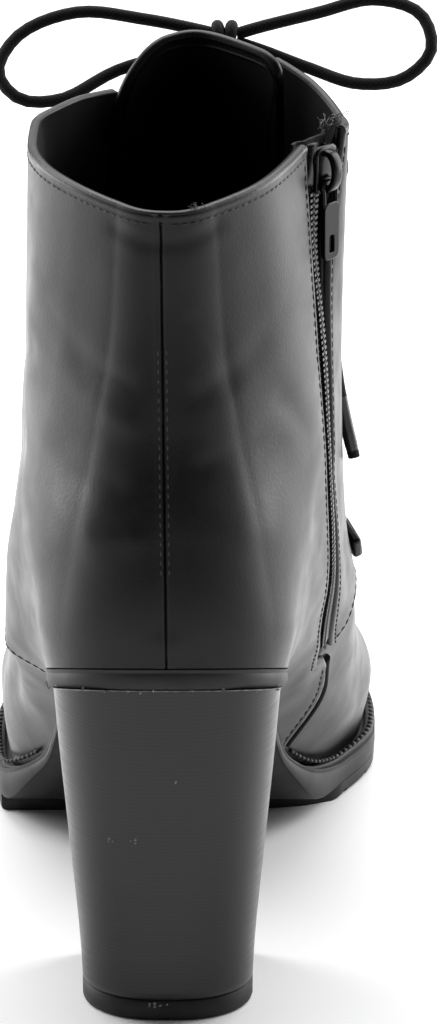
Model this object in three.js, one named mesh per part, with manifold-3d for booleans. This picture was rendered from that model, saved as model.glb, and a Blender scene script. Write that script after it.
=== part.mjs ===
// Lace-up ankle boot with a block heel and a side zip, left foot, millimetres, +Z up.
// +Y runs toward the toe, +X toward the inner side of the foot.
import * as THREE from 'three';
import Module from 'manifold-3d';

const wasm = await Module();
wasm.setup();

// Main sizes of the last, the bottom and the leather.
const size = {
  length: 242,
  halfBall: 47.5,
  heelHeight: 87.6,
  collarBack: 203,
  collarFront: 208,
  wall: 2.1,
  skin: 1.2,
  gap: 0.3,
  lace: 3.0,
  liftThick: 5,
};

// How finely the leather is faceted: points round half a loop, and rows up the boot.
const halfLoop = 20;
const loop = 2 * halfLoop;
const rows = 14;

// Side view of the bottom: share of the length, then heights as shares of the heel height.
const bottomColumns = ['along', 'top', 'under', 'tread'];
const bottomRows = [
  [0.00, 1.064, 1.000, 0],
  [0.10, 0.958, 0.904, 0],
  [0.20, 0.849, 0.808, 0],
  [0.30, 0.692, 0.650, 0],
  [0.40, 0.489, 0.445, 0],
  [0.50, 0.260, 0.212, 0],
  [0.58, 0.142, 0.048, 0],
  [0.64, 0.105, 0.034, 0],
  [0.77, 0.101, 0.034, 0],
  [0.88, 0.139, 0.073, 0.039],
  [1.00, 0.228, 0.167, 0.132],
];

// Back line and front ridge of the upper by level: y as a share of the length, and rise
// as a share of the way from the sole to the collar.
const lineColumns = ['level', 'backY', 'backRise', 'frontY', 'frontRise'];
const lineRows = [
  [0.00, 0.004, 0.000, 1.004, 0.000],
  [0.10, 0.000, 0.105, 0.994, 0.084],
  [0.27, 0.008, 0.279, 0.876, 0.217],
  [0.50, 0.025, 0.516, 0.682, 0.382],
  [0.75, 0.031, 0.753, 0.541, 0.648],
  [1.00, 0.023, 1.000, 0.446, 1.000],
];

// Reach of the outer side from the heel's axis, as shares of half the ball width.
const reachLevels = [0, 0.10, 0.27, 0.50, 0.75, 1.00];
const reachColumns = ['along', 'edge', 'bulge', 'quarter', 'ankle', 'shaft', 'collar'];
const lateralRows = [
  [0.06, 0.580, 0.600, 0.600, 0.550, 0.465, 0.440],
  [0.18, 0.600, 0.665, 0.695, 0.655, 0.590, 0.535],
  [0.33, 0.560, 0.825, 0.810, 0.725, 0.685, 0.630],
  [0.46, 0.630, 0.790, 0.810, 0.755, 0.703, 0.675],
  [0.60, 0.860, 0.905, 0.830, 0.755, 0.695, 0.665],
  [0.72, 0.890, 0.930, 0.780, 0.705, 0.640, 0.590],
  [0.85, 0.840, 0.870, 0.680, 0.610, 0.550, 0.505],
  [1.00, 0.760, 0.780, 0.560, 0.485, 0.420, 0.380],
];
const medialRows = [
  [0.06, 0.580, 0.600, 0.600, 0.550, 0.465, 0.440],
  [0.18, 0.595, 0.665, 0.695, 0.675, 0.610, 0.535],
  [0.33, 0.525, 0.760, 0.840, 0.800, 0.715, 0.610],
  [0.46, 0.585, 0.830, 0.915, 0.865, 0.810, 0.700],
  [0.60, 0.815, 1.010, 0.995, 0.900, 0.870, 0.895],
  [0.72, 1.040, 1.100, 0.960, 0.830, 0.805, 0.855],
  [0.85, 1.060, 1.080, 0.830, 0.715, 0.735, 0.770],
  [1.00, 0.980, 0.960, 0.720, 0.630, 0.590, 0.570],
];

// How soon each loop closes at the heel and at the toe, by level.
const closeColumns = ['level', 'heel', 'toe'];
const closeRows = [
  [0.00, 0.115, 0.260],
  [0.10, 0.125, 0.300],
  [0.27, 0.170, 0.420],
  [0.50, 0.270, 0.450],
  [0.75, 0.350, 0.420],
  [1.00, 0.400, 0.420],
];

// The tongue's centre line leans from the heel's axis toward the ball.
const axisLean = { foot: 9, collar: 7 };

// Smooth curve through table rows that never overshoots.
function curve(xs, ys) {
  const n = xs.length;
  const slope = [];
  for (let i = 0; i < n - 1; i += 1) {
    slope.push((ys[i + 1] - ys[i]) / (xs[i + 1] - xs[i]));
  }
  const tangent = [slope[0]];
  for (let i = 1; i < n - 1; i += 1) {
    const same = slope[i - 1] * slope[i] > 0;
    tangent.push(same ? (2 * slope[i - 1] * slope[i]) / (slope[i - 1] + slope[i]) : 0);
  }
  tangent.push(slope[n - 2]);
  return (x) => {
    let i = 0;
    while (i < n - 2 && x > xs[i + 1]) {
      i += 1;
    }
    const h = xs[i + 1] - xs[i];
    const s = (x - xs[i]) / h;
    if (s < 0) {
      return ys[0] + tangent[0] * (x - xs[0]);
    }
    if (s > 1) {
      return ys[n - 1] + tangent[n - 1] * (x - xs[n - 1]);
    }
    const a = (1 + 2 * s) * (1 - s) * (1 - s);
    const b = s * (1 - s) * (1 - s) * h;
    const c = s * s * (3 - 2 * s);
    const d = s * s * (s - 1) * h;
    return a * ys[i] + b * tangent[i] + c * ys[i + 1] + d * tangent[i + 1];
  };
}

function column(names, table, name, scale = 1) {
  const place = names.indexOf(name);
  return curve(table.map((row) => row[0]), table.map((row) => row[place] * scale));
}

const topAt = column(bottomColumns, bottomRows, 'top', size.heelHeight);
const underAt = column(bottomColumns, bottomRows, 'under', size.heelHeight);
const treadAt = column(bottomColumns, bottomRows, 'tread', size.heelHeight);
const featherZ = (y) => topAt(y / size.length);
const underZ = (y) => underAt(y / size.length);
const treadZ = (y) => Math.max(0, treadAt(y / size.length));

const backY = column(lineColumns, lineRows, 'backY', size.length);
const frontY = column(lineColumns, lineRows, 'frontY', size.length);
const backRise = column(lineColumns, lineRows, 'backRise');
const frontRise = column(lineColumns, lineRows, 'frontRise');
const closeHeel = column(closeColumns, closeRows, 'heel');
const closeToe = column(closeColumns, closeRows, 'toe');

const reachCurves = {
  lateral: reachColumns.slice(1).map((name) => column(reachColumns, lateralRows, name, size.halfBall)),
  medial: reachColumns.slice(1).map((name) => column(reachColumns, medialRows, name, size.halfBall)),
};

function reach(side, v, t) {
  const firstRow = lateralRows[0][0];
  const values = reachCurves[side].map((f) => f(Math.max(v, firstRow)));
  return curve(reachLevels, values)(t);
}

// Four corners of the upper in the side view.
const soleBack = [backY(0), featherZ(backY(0)) + size.gap];
const soleFront = [frontY(0), featherZ(frontY(0)) + size.gap];
const collarBack = [backY(1), size.collarBack];
const collarFront = [frontY(1), size.collarFront];
const mix = (a, b, s) => a + (b - a) * s;

// Side view of the upper: v runs from the back to the front, t from the sole to the collar.
function sideView(v, t) {
  const soleY = mix(soleBack[0], soleFront[0], v);
  const sole = [soleY, featherZ(soleY) + size.gap];
  const backLine = [backY(t), mix(soleBack[1], collarBack[1], backRise(t))];
  const frontLine = [frontY(t), mix(soleFront[1], collarFront[1], frontRise(t))];
  return [0, 1].map((k) => {
    const collar = mix(collarBack[k], collarFront[k], v);
    const low = mix(soleBack[k], soleFront[k], v);
    return mix(backLine[k], frontLine[k], v) + mix(sole[k], collar, t) - mix(low, collar, t);
  });
}

// Point on the outer form of the upper: u = 0 at the back seam, 0.5 on the front ridge.
function form(u, level) {
  const t = Math.min(level, 1);
  const above = level - t;
  const v = (1 - Math.cos(2 * Math.PI * u)) / 2;
  const side = u < 0.5 ? 'lateral' : 'medial';
  const sign = u < 0.5 ? -1 : 1;
  const [y, z] = sideView(v, t);
  const centre = mix(axisLean.foot, axisLean.collar, t) * v;
  const heel = closeHeel(t);
  const toe = closeToe(t);
  let close = 1;
  if (v < heel) {
    close = Math.sqrt(Math.max(0, 1 - (1 - v / heel) ** 2));
  }
  if (v > 1 - toe) {
    close = Math.sqrt(Math.max(0, 1 - (1 - (1 - v) / toe) ** 2));
  }
  const x = centre + sign * (reach(side, v, t) - sign * centre) * close;
  return new THREE.Vector3(x, y - 14 * above, z + 110 * above);
}

function normal(u, t) {
  const step = 0.004;
  const around = form((u + step + 1) % 1, t).sub(form((u - step + 1) % 1, t));
  const upward = form(u, t + step).sub(form(u, Math.max(t - step, 0)));
  return upward.cross(around).normalize();
}

function offset(u, t, distance) {
  return form(u, t).addScaledVector(normal(u, t), distance);
}

const at = (x, y, z) => new THREE.Vector3(x, y, z);

// Closed list of triangles to a solid, turned right side out.
function solid(points, faces) {
  let volume = 0;
  for (const [a, b, c] of faces) {
    volume += points[a].dot(points[b].clone().cross(points[c]));
  }
  const outward = volume < 0 ? faces.map(([a, b, c]) => [a, c, b]) : faces;
  return new wasm.Manifold(new wasm.Mesh({
    numProp: 3,
    vertProperties: new Float32Array(points.flatMap((p) => [p.x, p.y, p.z])),
    triVerts: new Uint32Array(outward.flat()),
  }));
}

// Solid between the two faces of a grid, closed along its edges.
function sheet(nu, nt, place, wrap) {
  const points = [];
  const faces = [];
  const columns = wrap ? nu : nu + 1;
  const id = (i, j, k) => (k * (nt + 1) + j) * columns + (wrap ? i % nu : i);
  for (let k = 0; k < 2; k += 1) {
    for (let j = 0; j <= nt; j += 1) {
      for (let i = 0; i < columns; i += 1) {
        points.push(place(i / nu, j / nt, k));
      }
    }
  }
  const quad = (a, b, c, d) => {
    faces.push([a, b, c], [a, c, d]);
  };
  for (let j = 0; j < nt; j += 1) {
    for (let i = 0; i < nu; i += 1) {
      quad(id(i, j, 0), id(i + 1, j, 0), id(i + 1, j + 1, 0), id(i, j + 1, 0));
      quad(id(i, j, 1), id(i, j + 1, 1), id(i + 1, j + 1, 1), id(i + 1, j, 1));
    }
  }
  for (let i = 0; i < nu; i += 1) {
    quad(id(i, 0, 1), id(i + 1, 0, 1), id(i + 1, 0, 0), id(i, 0, 0));
    quad(id(i, nt, 0), id(i + 1, nt, 0), id(i + 1, nt, 1), id(i, nt, 1));
  }
  if (!wrap) {
    for (let j = 0; j < nt; j += 1) {
      quad(id(0, j, 0), id(0, j + 1, 0), id(0, j + 1, 1), id(0, j, 1));
      quad(id(nu, j, 1), id(nu, j + 1, 1), id(nu, j + 1, 0), id(nu, j, 0));
    }
  }
  return solid(points, faces);
}

// Solid from a stack of closed rings whose points pair up across the middle.
function stack(rings) {
  const n = rings[0].length;
  const faces = [];
  for (let k = 0; k < rings.length - 1; k += 1) {
    for (let i = 0; i < n; i += 1) {
      const a = k * n + i;
      const b = k * n + ((i + 1) % n);
      faces.push([a, b, b + n], [a, b + n, a + n]);
    }
  }
  const cap = (base, flip) => {
    const add = (a, b, c) => {
      faces.push(flip ? [base + a, base + c, base + b] : [base + a, base + b, base + c]);
    };
    add(0, 1, n - 1);
    for (let i = 1; i < n / 2 - 1; i += 1) {
      add(i, i + 1, n - i - 1);
      add(i, n - i - 1, n - i);
    }
    add(n / 2 - 1, n / 2, n / 2 + 1);
  };
  cap(0, true);
  cap((rings.length - 1) * n, false);
  return solid(rings.flat(), faces);
}

// Straight solid on an outline: drawn in the side view and run across, in the front view
// and run along the boot, or in the plan and run upward.
const views = {
  side: ([a, b], c) => at(c, a, b),
  front: ([a, b], c) => at(a, c, b),
  plan: ([a, b], c) => at(a, b, c),
};
function prism(view, outline, low, high) {
  const flat = THREE.ShapeUtils.triangulateShape(outline.map(([a, b]) => new THREE.Vector2(a, b)), []);
  const n = outline.length;
  const points = [low, high].flatMap((c) => outline.map((p) => views[view](p, c)));
  const faces = [];
  for (const [a, b, c] of flat) {
    faces.push([a + n, b + n, c + n], [a, c, b]);
  }
  const turned = THREE.ShapeUtils.isClockWise(outline.map(([a, b]) => new THREE.Vector2(a, b)));
  for (let i = 0; i < n; i += 1) {
    const j = (i + 1) % n;
    if (turned) {
      faces.push([i, j + n, j], [i, i + n, j + n]);
    } else {
      faces.push([i, j, j + n], [i, j + n, i + n]);
    }
  }
  return solid(points, faces);
}

// Round cord or wire along a path, with flat ends.
function tube(path, radius, sides, closed, pitch) {
  const line = new THREE.CatmullRomCurve3(path, closed, 'centripetal');
  const steps = Math.max(3, Math.round(line.getLength() / pitch));
  const frames = line.computeFrenetFrames(steps, closed);
  const rings = closed ? steps : steps + 1;
  const points = [];
  const faces = [];
  for (let i = 0; i < rings; i += 1) {
    const middle = line.getPointAt(i / steps);
    for (let j = 0; j < sides; j += 1) {
      const angle = (2 * Math.PI * j) / sides;
      points.push(middle.clone()
        .addScaledVector(frames.normals[i], radius * Math.cos(angle))
        .addScaledVector(frames.binormals[i], radius * Math.sin(angle)));
    }
  }
  for (let i = 0; i < (closed ? rings : rings - 1); i += 1) {
    for (let j = 0; j < sides; j += 1) {
      const a = i * sides + j;
      const b = i * sides + ((j + 1) % sides);
      const c = ((i + 1) % rings) * sides + j;
      const d = ((i + 1) % rings) * sides + ((j + 1) % sides);
      faces.push([a, b, d], [a, d, c]);
    }
  }
  if (!closed) {
    const last = (rings - 1) * sides;
    for (let j = 1; j < sides - 1; j += 1) {
      faces.push([0, j + 1, j], [last, last + j, last + j + 1]);
    }
  }
  return solid(points, faces);
}

// Box given by its middle, three unit directions and three half sizes.
function brick(middle, axes, half) {
  const corner = (a, b, c) => middle.clone()
    .addScaledVector(axes[0], a * half[0])
    .addScaledVector(axes[1], b * half[1])
    .addScaledVector(axes[2], c * half[2]);
  return stack([-1, 1].map((c) => [
    corner(-1, -1, c), corner(1, -1, c), corner(1, 1, c), corner(-1, 1, c),
  ]));
}

// Loop and level of the upper's form that lie over a place in the side view.
function find(y, z, side) {
  const tries = 6;
  let best = [0.5, 0.5];
  let nearest = Infinity;
  for (let span = 0.5; span > 0.0001; span *= 0.35) {
    const [v0, t0] = best;
    for (let i = -tries; i <= tries; i += 1) {
      for (let j = -tries; j <= tries; j += 1) {
        const v = Math.min(1, Math.max(0, v0 + (span * i) / tries));
        const t = Math.min(1, Math.max(0, t0 + (span * j) / tries));
        const [py, pz] = sideView(v, t);
        const far = (py - y) ** 2 + (pz - z) ** 2;
        if (far < nearest) {
          nearest = far;
          best = [v, t];
        }
      }
    }
  }
  const u = Math.acos(1 - 2 * best[0]) / (2 * Math.PI);
  return [side === 'lateral' ? u : 1 - u, best[1]];
}

// Seams and openings are drawn as shares: y of the length, z of the collar's front height,
// x of half the ball width.
const drawSide = ([y, z]) => [y * size.length, z * size.collarFront];
const drawFront = ([x, z]) => [x * size.halfBall, z * size.collarFront];
const drawPlan = ([x, y]) => [x * size.halfBall, y * size.length];
const overTop = 1.2;
const wide = 2 * size.halfBall;

// Throat: a wedge of the front, wider at the top and open there.
const throatInner = [[0.11, 0.462], [0.24, 0.462], [0.36, 0.51], [0.45, 0.72], [0.53, 0.91]];
const throatOuter = [[-0.27, 0.91], [-0.21, 0.72], [-0.06, 0.51], [0, 0.466]];
const throatOutline = [...throatInner, [0.56, overTop], [-0.28, overTop], ...throatOuter];
const throat = prism('front', throatOutline.map(drawFront), 0.35 * size.length, 0.83 * size.length);

// Zip: share of the height, then the rear edge, the teeth and the front edge.
const zipRows = [
  [0.288, 0.376, 0.392, 0.409],
  [0.317, 0.349, 0.366, 0.384],
  [0.385, 0.303, 0.321, 0.340],
  [0.471, 0.265, 0.282, 0.299],
  [0.577, 0.236, 0.256, 0.273],
  [0.721, 0.221, 0.245, 0.263],
  [0.865, 0.213, 0.242, 0.261],
  [overTop, 0.207, 0.240, 0.261],
];
const zipLine = (place) => zipRows.map((row) => drawSide([row[place], row[0]]));
const zipSlot = prism('side', [...zipLine(1), ...zipLine(3).reverse()], 0.25 * size.halfBall, wide);

function shell(inner, outer) {
  return sheet(loop, rows, (a, b, k) => offset(a, b ** 1.15, k === 0 ? inner : outer), true);
}

// Upper wall, with the overlays 0.3 mm off its outer face.
const wallOuter = -0.9;
const wallInner = wallOuter - size.wall;
const skinInner = wallOuter + size.gap;
const skinOuter = skinInner + size.skin;
const upperSolid = shell(wallInner, wallOuter).subtract(throat).subtract(zipSlot);
const skin = shell(skinInner, skinOuter);

// Back quarter: its outer seam leaves the rand, runs forward and turns up to the collar.
const seamRise = [
  [0.207, 0.354], [0.269, 0.337], [0.322, 0.343], [0.364, 0.380], [0.397, 0.447], [0.413, 0.553],
  [0.405, 0.721], [0.380, 0.986], [0.376, overTop],
];
const behind = -0.06;
const lateralBack = prism('side', [
  [behind, 0.29], [0.207, 0.29], ...seamRise, [behind, overTop],
].map(drawSide), -wide, 0.001);
const medialBack = prism('side', [
  ...[[behind, 0.067], [0.492, 0.067], [0.475, 0.135], [0.450, 0.212], [0.417, 0.269]].map(drawSide),
  ...zipLine(2), drawSide([behind, overTop]),
], 0, wide);
const quarterSolid = skin.intersect(lateralBack.add(medialBack)).subtract(zipSlot);

// Facings carry the rings on both sides of the throat.
const seamGap = 0.35 / size.length;
const lateralFront = prism('side', [
  ...seamRise.slice(4).map(([y, z]) => [y + seamGap, z]).reverse(),
  [0.455, 0.423], [0.520, 0.418], [0.603, 0.447], [0.826, 0.529], [0.826, overTop],
].map(drawSide), -wide, 0.1 * size.halfBall);
const medialFront = prism('side', [
  [0.260, overTop], [0.264, 0.721], [0.281, 0.529], [0.331, 0.394], [0.401, 0.290], [0.430, 0.308],
  [0.479, 0.370], [0.545, 0.423], [0.620, 0.457], [0.826, 0.529], [0.826, overTop],
].map(drawSide), 0.19 * size.halfBall, wide);
const lateralFacing = skin.intersect(lateralFront).subtract(throat);
const medialFacing = skin.intersect(medialFront).subtract(throat).subtract(zipSlot);

// Tongue under the throat, standing above the collar with rounded corners.
const tongue = { low: 0.45, high: 1.085, thick: 2.5, foot: 0.1, head: 0.122, corner: 0.035 };
const tongueSolid = sheet(8, 9, (a, b, k) => {
  const t = mix(tongue.low, tongue.high, b);
  const round = Math.max(0, b - 0.86) / 0.14;
  const spread = mix(tongue.foot, tongue.head, Math.min(1, b * 1.6)) - tongue.corner * round ** 2;
  const under = wallInner - size.gap - 0.2;
  return offset(0.5 + (2 * a - 1) * spread, t, k === 0 ? under - tongue.thick : under);
}, false);

// Outline of the bottom: the upper's own edge moved out by a ledge.
function outline(out, height) {
  return Array.from({ length: loop }, (_, i) => {
    const u = i / loop;
    const p = form(u, 0);
    const n = normal(u, 0.02).setZ(0).normalize();
    const { y } = p;
    p.addScaledVector(n, out(y));
    p.z = height(y);
    return p;
  });
}
const ledge = (y) => {
  const [start, end] = [0.446 * size.length, 0.579 * size.length];
  return 0.5 + 2.3 * THREE.MathUtils.smoothstep(y, start, end);
};

// Outsole body: rand round the heel seat, shank and forefoot, with a groove in its side.
const bodyThick = (y) => featherZ(y) - underZ(y);
const outsoleBody = stack([
  outline((y) => ledge(y) - 1.4, underZ),
  outline(ledge, (y) => underZ(y) + Math.min(1.2, 0.3 * bodyThick(y))),
  outline(ledge, (y) => featherZ(y) - 1.4),
  outline((y) => ledge(y) - 0.5, (y) => featherZ(y) - 1.0),
  outline(ledge, featherZ),
]);

// Tread pad: flat under the ball, rising with the toe, with grooves across.
const tread = { rear: 0.587, grooves: 7, first: 0.628, pitch: 0.05, width: 2.4, depth: 1.2 };
const padBlock = stack([
  outline((y) => ledge(y) - 1.2, treadZ),
  outline((y) => ledge(y) - 0.2, (y) => treadZ(y) + 1.0),
  outline((y) => ledge(y) - 0.2, (y) => underZ(y) + 0.6),
]);
const padPlan = prism('plan', [
  [-1.3, tread.rear], [0.3, tread.rear], [0.72, tread.rear + 0.012], [0.95, tread.rear + 0.04],
  [1.4, tread.rear + 0.12], [1.4, 1.1], [-1.3, 1.1],
].map(drawPlan), -5, 0.5 * size.heelHeight);
let pad = padBlock.intersect(padPlan);
for (let i = 0; i < tread.grooves; i += 1) {
  const y = (tread.first + tread.pitch * i) * size.length;
  const low = treadZ(y) - 2;
  const high = treadZ(y) + tread.depth;
  pad = pad.subtract(prism('side', [
    [y, low], [y + tread.width, low], [y + tread.width, high], [y, high],
  ], -wide, wide));
}
const outsoleSolid = outsoleBody.add(pad);

// Welt on the ledge around the forefoot.
const welt = { inset: 0.15, trim: 0.6, side: 1.6, high: 2.0 };
const weltOuter = stack([
  outline((y) => ledge(y) - welt.inset, (y) => featherZ(y) + size.gap),
  outline((y) => ledge(y) - welt.inset, (y) => featherZ(y) + welt.side),
  outline((y) => ledge(y) - welt.trim, (y) => featherZ(y) + welt.high),
]);
const weltInner = stack([
  outline(() => wallOuter + 1.25, (y) => featherZ(y) - 4),
  outline(() => wallOuter + 1.25, (y) => featherZ(y) + size.gap),
  outline(() => wallOuter + 2.1, (y) => featherZ(y) + 2.1),
  outline(() => wallOuter + 2.6, (y) => featherZ(y) + 5),
]);
const forefoot = [[-2, 0.5], [2, 0.5], [2, 1.1], [-2, 1.1]];
const weltFront = prism('plan', forefoot.map(drawPlan), -5, size.heelHeight);
const weltSolid = weltOuter.subtract(weltInner).intersect(weltFront);

// Insole inside the upper's edge.
const insoleThick = 2.7;
const insoleSolid = stack([
  outline(() => wallInner - 0.5, (y) => featherZ(y) + size.gap),
  outline(() => wallInner - 0.5, (y) => featherZ(y) + size.gap + insoleThick),
]);

// Heel sections: share of the height, half width as a share of half the ball, and the
// back and breast lines as shares of the length.
const heelRows = [
  [0.00, 0.430, 0.033, 0.207],
  [0.12, 0.440, 0.030, 0.207],
  [0.45, 0.488, 0.021, 0.211],
  [0.80, 0.541, 0.013, 0.213],
  [1.00, 0.568, 0.010, 0.215],
];

// Heel plan: round back, straight sides and a nearly flat breast.
function heelRing(halfShare, backShare, breastShare, inset, height) {
  const half = halfShare * size.halfBall - inset;
  const back = backShare * size.length + inset;
  const breast = breastShare * size.length - inset;
  const depth = half * 0.86;
  const points = 14;
  const [roundEnd, sideEnd] = [8, 10];
  const quarter = [];
  for (let i = 0; i <= points; i += 1) {
    if (i < roundEnd) {
      const angle = (i / roundEnd) * (Math.PI / 2);
      quarter.push([half * Math.sin(angle) ** 0.82, back + depth * (1 - Math.cos(angle) ** 0.9)]);
    } else if (i <= sideEnd) {
      quarter.push([half, mix(back + depth, breast, (i - roundEnd) / (sideEnd - roundEnd))]);
    } else {
      const inward = (i - sideEnd) / (points - sideEnd);
      quarter.push([half * (1 - inward), breast - 0.6 * inward]);
    }
  }
  const outer = quarter.map(([x, y]) => at(-x, y, height(y)));
  const inner = quarter.slice(1, -1).reverse().map(([x, y]) => at(x, y, height(y)));
  return [...outer, ...inner];
}
const blockSolid = stack(heelRows.map(([share, half, back, breast]) => {
  const height = (y) => mix(size.liftThick + size.gap, underZ(y) - size.gap, share);
  return heelRing(half, back, breast, 0, height);
}));
const liftPlan = heelRows[0].slice(1);
const liftSolid = stack([
  heelRing(...liftPlan, 0.7, () => 0),
  heelRing(...liftPlan, 0, () => 0.8),
  heelRing(...liftPlan, 0, () => size.liftThick),
]);

// Zip: places on the inner side by height, measured in from the outer form.
const zipAt = curve(zipLine(2).map(([, z]) => z), zipLine(2).map(([y]) => y));
function zipPlace(z, across, depth) {
  const [u, t] = find(zipAt(z) + across, z, 'medial');
  return offset(u, t, depth);
}
const zip = { low: 0.308, high: 0.971, tapeHalf: 9, teethHalf: 2.3, slider: 0.947 };
const zipLow = zip.low * size.collarFront;
const zipHigh = zip.high * size.collarFront;
const tapeSolid = sheet(5, 12, (a, b, k) => {
  const z = mix(zipLow - 4, zipHigh, b);
  return zipPlace(z, (2 * a - 1) * zip.tapeHalf, k === 0 ? -5.0 : -4.0);
}, false);
const chainSolid = sheet(2, 20, (a, b, k) => {
  const z = mix(zipLow + 1, zipHigh - 2, b);
  const crest = k === 0 ? 0 : 0.5 * (1 - (2 * a - 1) ** 2);
  return zipPlace(z, (2 * a - 1) * zip.teethHalf, (k === 0 ? -3.6 : -1.7) + crest);
}, false);

// Slider near the top of the zip: a plate with a crown that holds the pull.
const sliderZ = zip.slider * size.collarFront;
const sliderSpot = zipPlace(sliderZ, 0, 0);
const sliderDown = zipPlace(sliderZ - 8, 0, 0).sub(zipPlace(sliderZ + 4, 0, 0)).normalize();
const sliderFace = normal(...find(zipAt(sliderZ), sliderZ, 'medial'));
const sliderSide = sliderDown.clone().cross(sliderFace).normalize();
const sliderOut = sliderSide.clone().cross(sliderDown).normalize();
function sliderPoint(out, down, side) {
  return sliderSpot.clone()
    .addScaledVector(sliderOut, out)
    .addScaledVector(sliderDown, down)
    .addScaledVector(sliderSide, side);
}
const plateRows = [[-6.5, 4.4], [-3.5, 4.4], [2.0, 3.5], [5.5, 3.5]];
const plateFaces = [[-0.6, 0], [0.7, 0], [1.4, 0.7]];
const plateSolid = stack(plateFaces.map(([out, trim]) => {
  const edge = (sign) => plateRows.map(([down, half]) => sliderPoint(out, down, sign * (half - trim)));
  return [...edge(-1), ...edge(1).reverse()];
}));
const crownSolid = tube([
  sliderPoint(0.9, -4.6, 0), sliderPoint(3.4, -3.6, 0), sliderPoint(4.4, -1.0, 0),
  sliderPoint(4.3, 2.2, 0), sliderPoint(2.9, 4.0, 0), sliderPoint(0.9, 4.4, 0),
], 1.05, 6, false, 2.2);
const sliderSolid = plateSolid.add(crownSolid);

// Pull tab hanging from the crown: the bar at its top is the hinge.
const pivot = sliderPoint(2.35, 1.9, 0);
const up = at(0, 0, 1);
const pullSide = sliderSide.clone().setZ(0).normalize();
const pullOut = pullSide.clone().cross(up).normalize();
if (pullOut.dot(sliderOut) < 0) {
  pullOut.negate();
}
function pullBrick(down, side, out, half) {
  const middle = pivot.clone()
    .addScaledVector(up, -down)
    .addScaledVector(pullSide, side)
    .addScaledVector(pullOut, out);
  return brick(middle, [pullOut, pullSide, up], half);
}
const pullSolid = pullBrick(11.7, 0, 0.5, [0.6, 3.2, 6.3])
  .subtract(pullBrick(14.4, 0, 0.5, [2, 1.1, 2.0]))
  .add(pullBrick(2.5, -2.5, 0.3, [0.6, 0.6, 3.1]))
  .add(pullBrick(2.5, 2.5, 0.3, [0.6, 0.6, 3.1]))
  .add(pullBrick(0, 0, 0, [0.55, 2.8, 0.55]));

// Lacing rings: height, then the place on the outer and the inner side.
const ringRows = [
  [0.409, 0.512, 0.479],
  [0.558, 0.475, 0.459],
  [0.692, 0.442, 0.442],
  [0.822, 0.409, 0.426],
  [0.947, 0.380, 0.409],
];
const topRing = ringRows.length - 1;
function ringFrame(side, index) {
  const [z, lateral, medial] = ringRows[index];
  const share = side === 'lateral' ? lateral : medial;
  const [u, t] = find(share * size.length, z * size.collarFront, side);
  const out = normal(u, t);
  const rise = offset(u, Math.min(t + 0.02, 1), 0).sub(offset(u, t - 0.02, 0)).normalize();
  const ahead = rise.clone().cross(out).normalize();
  if (ahead.y < 0) {
    ahead.negate();
  }
  return { spot: offset(u, t, skinOuter), out, rise, ahead, u, t };
}
const ring = { half: 5.4, shoulder: 4.9, reach: 5.6, bend: 3.4, low: 1.6, middle: 2.9, high: 3.6, wire: 0.95 };
const strapHalf = [4.0, 3.6, 1.2];
function ringSolid(side, index) {
  const { spot, out, rise, ahead } = ringFrame(side, index);
  const local = (a, b, n) => spot.clone()
    .addScaledVector(ahead, a).addScaledVector(rise, b).addScaledVector(out, n);
  const bow = tube([
    local(0, -ring.half, ring.low), local(0, 0, ring.low), local(0, ring.half, ring.low),
    local(ring.bend, ring.shoulder, ring.middle), local(ring.reach, 0, ring.high),
    local(ring.bend, -ring.shoulder, ring.middle),
  ], ring.wire, 5, true, 3.2);
  const strap = brick(local(-3.2, 0, 1.55), [ahead, rise, out], strapHalf);
  return bow.add(strap);
}

// Lace crossings follow the front of the upper over the tongue and stop short of the rings.
const laceLift = size.lace / 2 + 1.6;
const laceTrim = 0.115;
const laceSteps = 8;
const lacePitch = 11;
function crossing(from, to) {
  const a = ringFrame(...from);
  const b = ringFrame(...to);
  return Array.from({ length: laceSteps + 1 }, (_, i) => {
    const s = i / laceSteps;
    return offset(mix(a.u, b.u, mix(laceTrim, 1 - laceTrim, s)), mix(a.t, b.t, s), laceLift);
  });
}
const laceTube = (path) => tube(path, size.lace / 2, 5, false, lacePitch);
let crossings = laceTube(crossing(['lateral', 0], ['medial', 0]));
for (let i = 0; i < topRing; i += 1) {
  crossings = crossings.add(laceTube(crossing(['lateral', i], ['medial', i + 1])));
  crossings = crossings.add(laceTube(crossing(['medial', i], ['lateral', i + 1])));
}

// Bow in front of the tongue's top, placed from the front of the collar.
const throatTop = form(0.5, 1);
const bow = (x, y, z) => throatTop.clone().add(at(x, y, z));
const neckLateral = crossing(['medial', topRing - 1], ['lateral', topRing])[laceSteps];
const neckMedial = crossing(['lateral', topRing - 1], ['medial', topRing])[laceSteps];
crossings = crossings.add(laceTube([neckLateral, bow(-10, 2.5, -8.5), bow(5.6, 9.8, -1.8)]));
crossings = crossings.add(laceTube([neckMedial, bow(20, 4.5, -7), bow(8.2, 9.8, -1.8)]));
const knotSolid = tube([
  bow(2, 9.5, 3.4), bow(5.5, 10.3, 4.1), bow(8.5, 10.3, 4.1), bow(12, 9.5, 3.4),
], 3.4, 8, false, 3.8);
const cord = (path) => tube(path, size.lace / 2, 6, false, 7);
const lateralLoop = cord([
  bow(0.8, 9.6, 5.8), bow(-13, 11, 8), bow(-29, 10, 10), bow(-43, 6, 5.5), bow(-48, 0, -2),
  bow(-43, -4, -7.5), bow(-33, -1.5, -8.5), bow(-19, 6.5, -3.5), bow(0.7, 9.4, 1.4),
]);
const medialLoop = cord([
  bow(13.2, 9.6, 5.8), bow(29, 11, 9.5), bow(43, 9, 13.5), bow(54, 5, 11), bow(56.5, 0, 3.5),
  bow(50, -2, -3), bow(39, 0, -5), bow(27, 6.5, -3), bow(13.3, 9.4, 1.4),
]);

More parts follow.
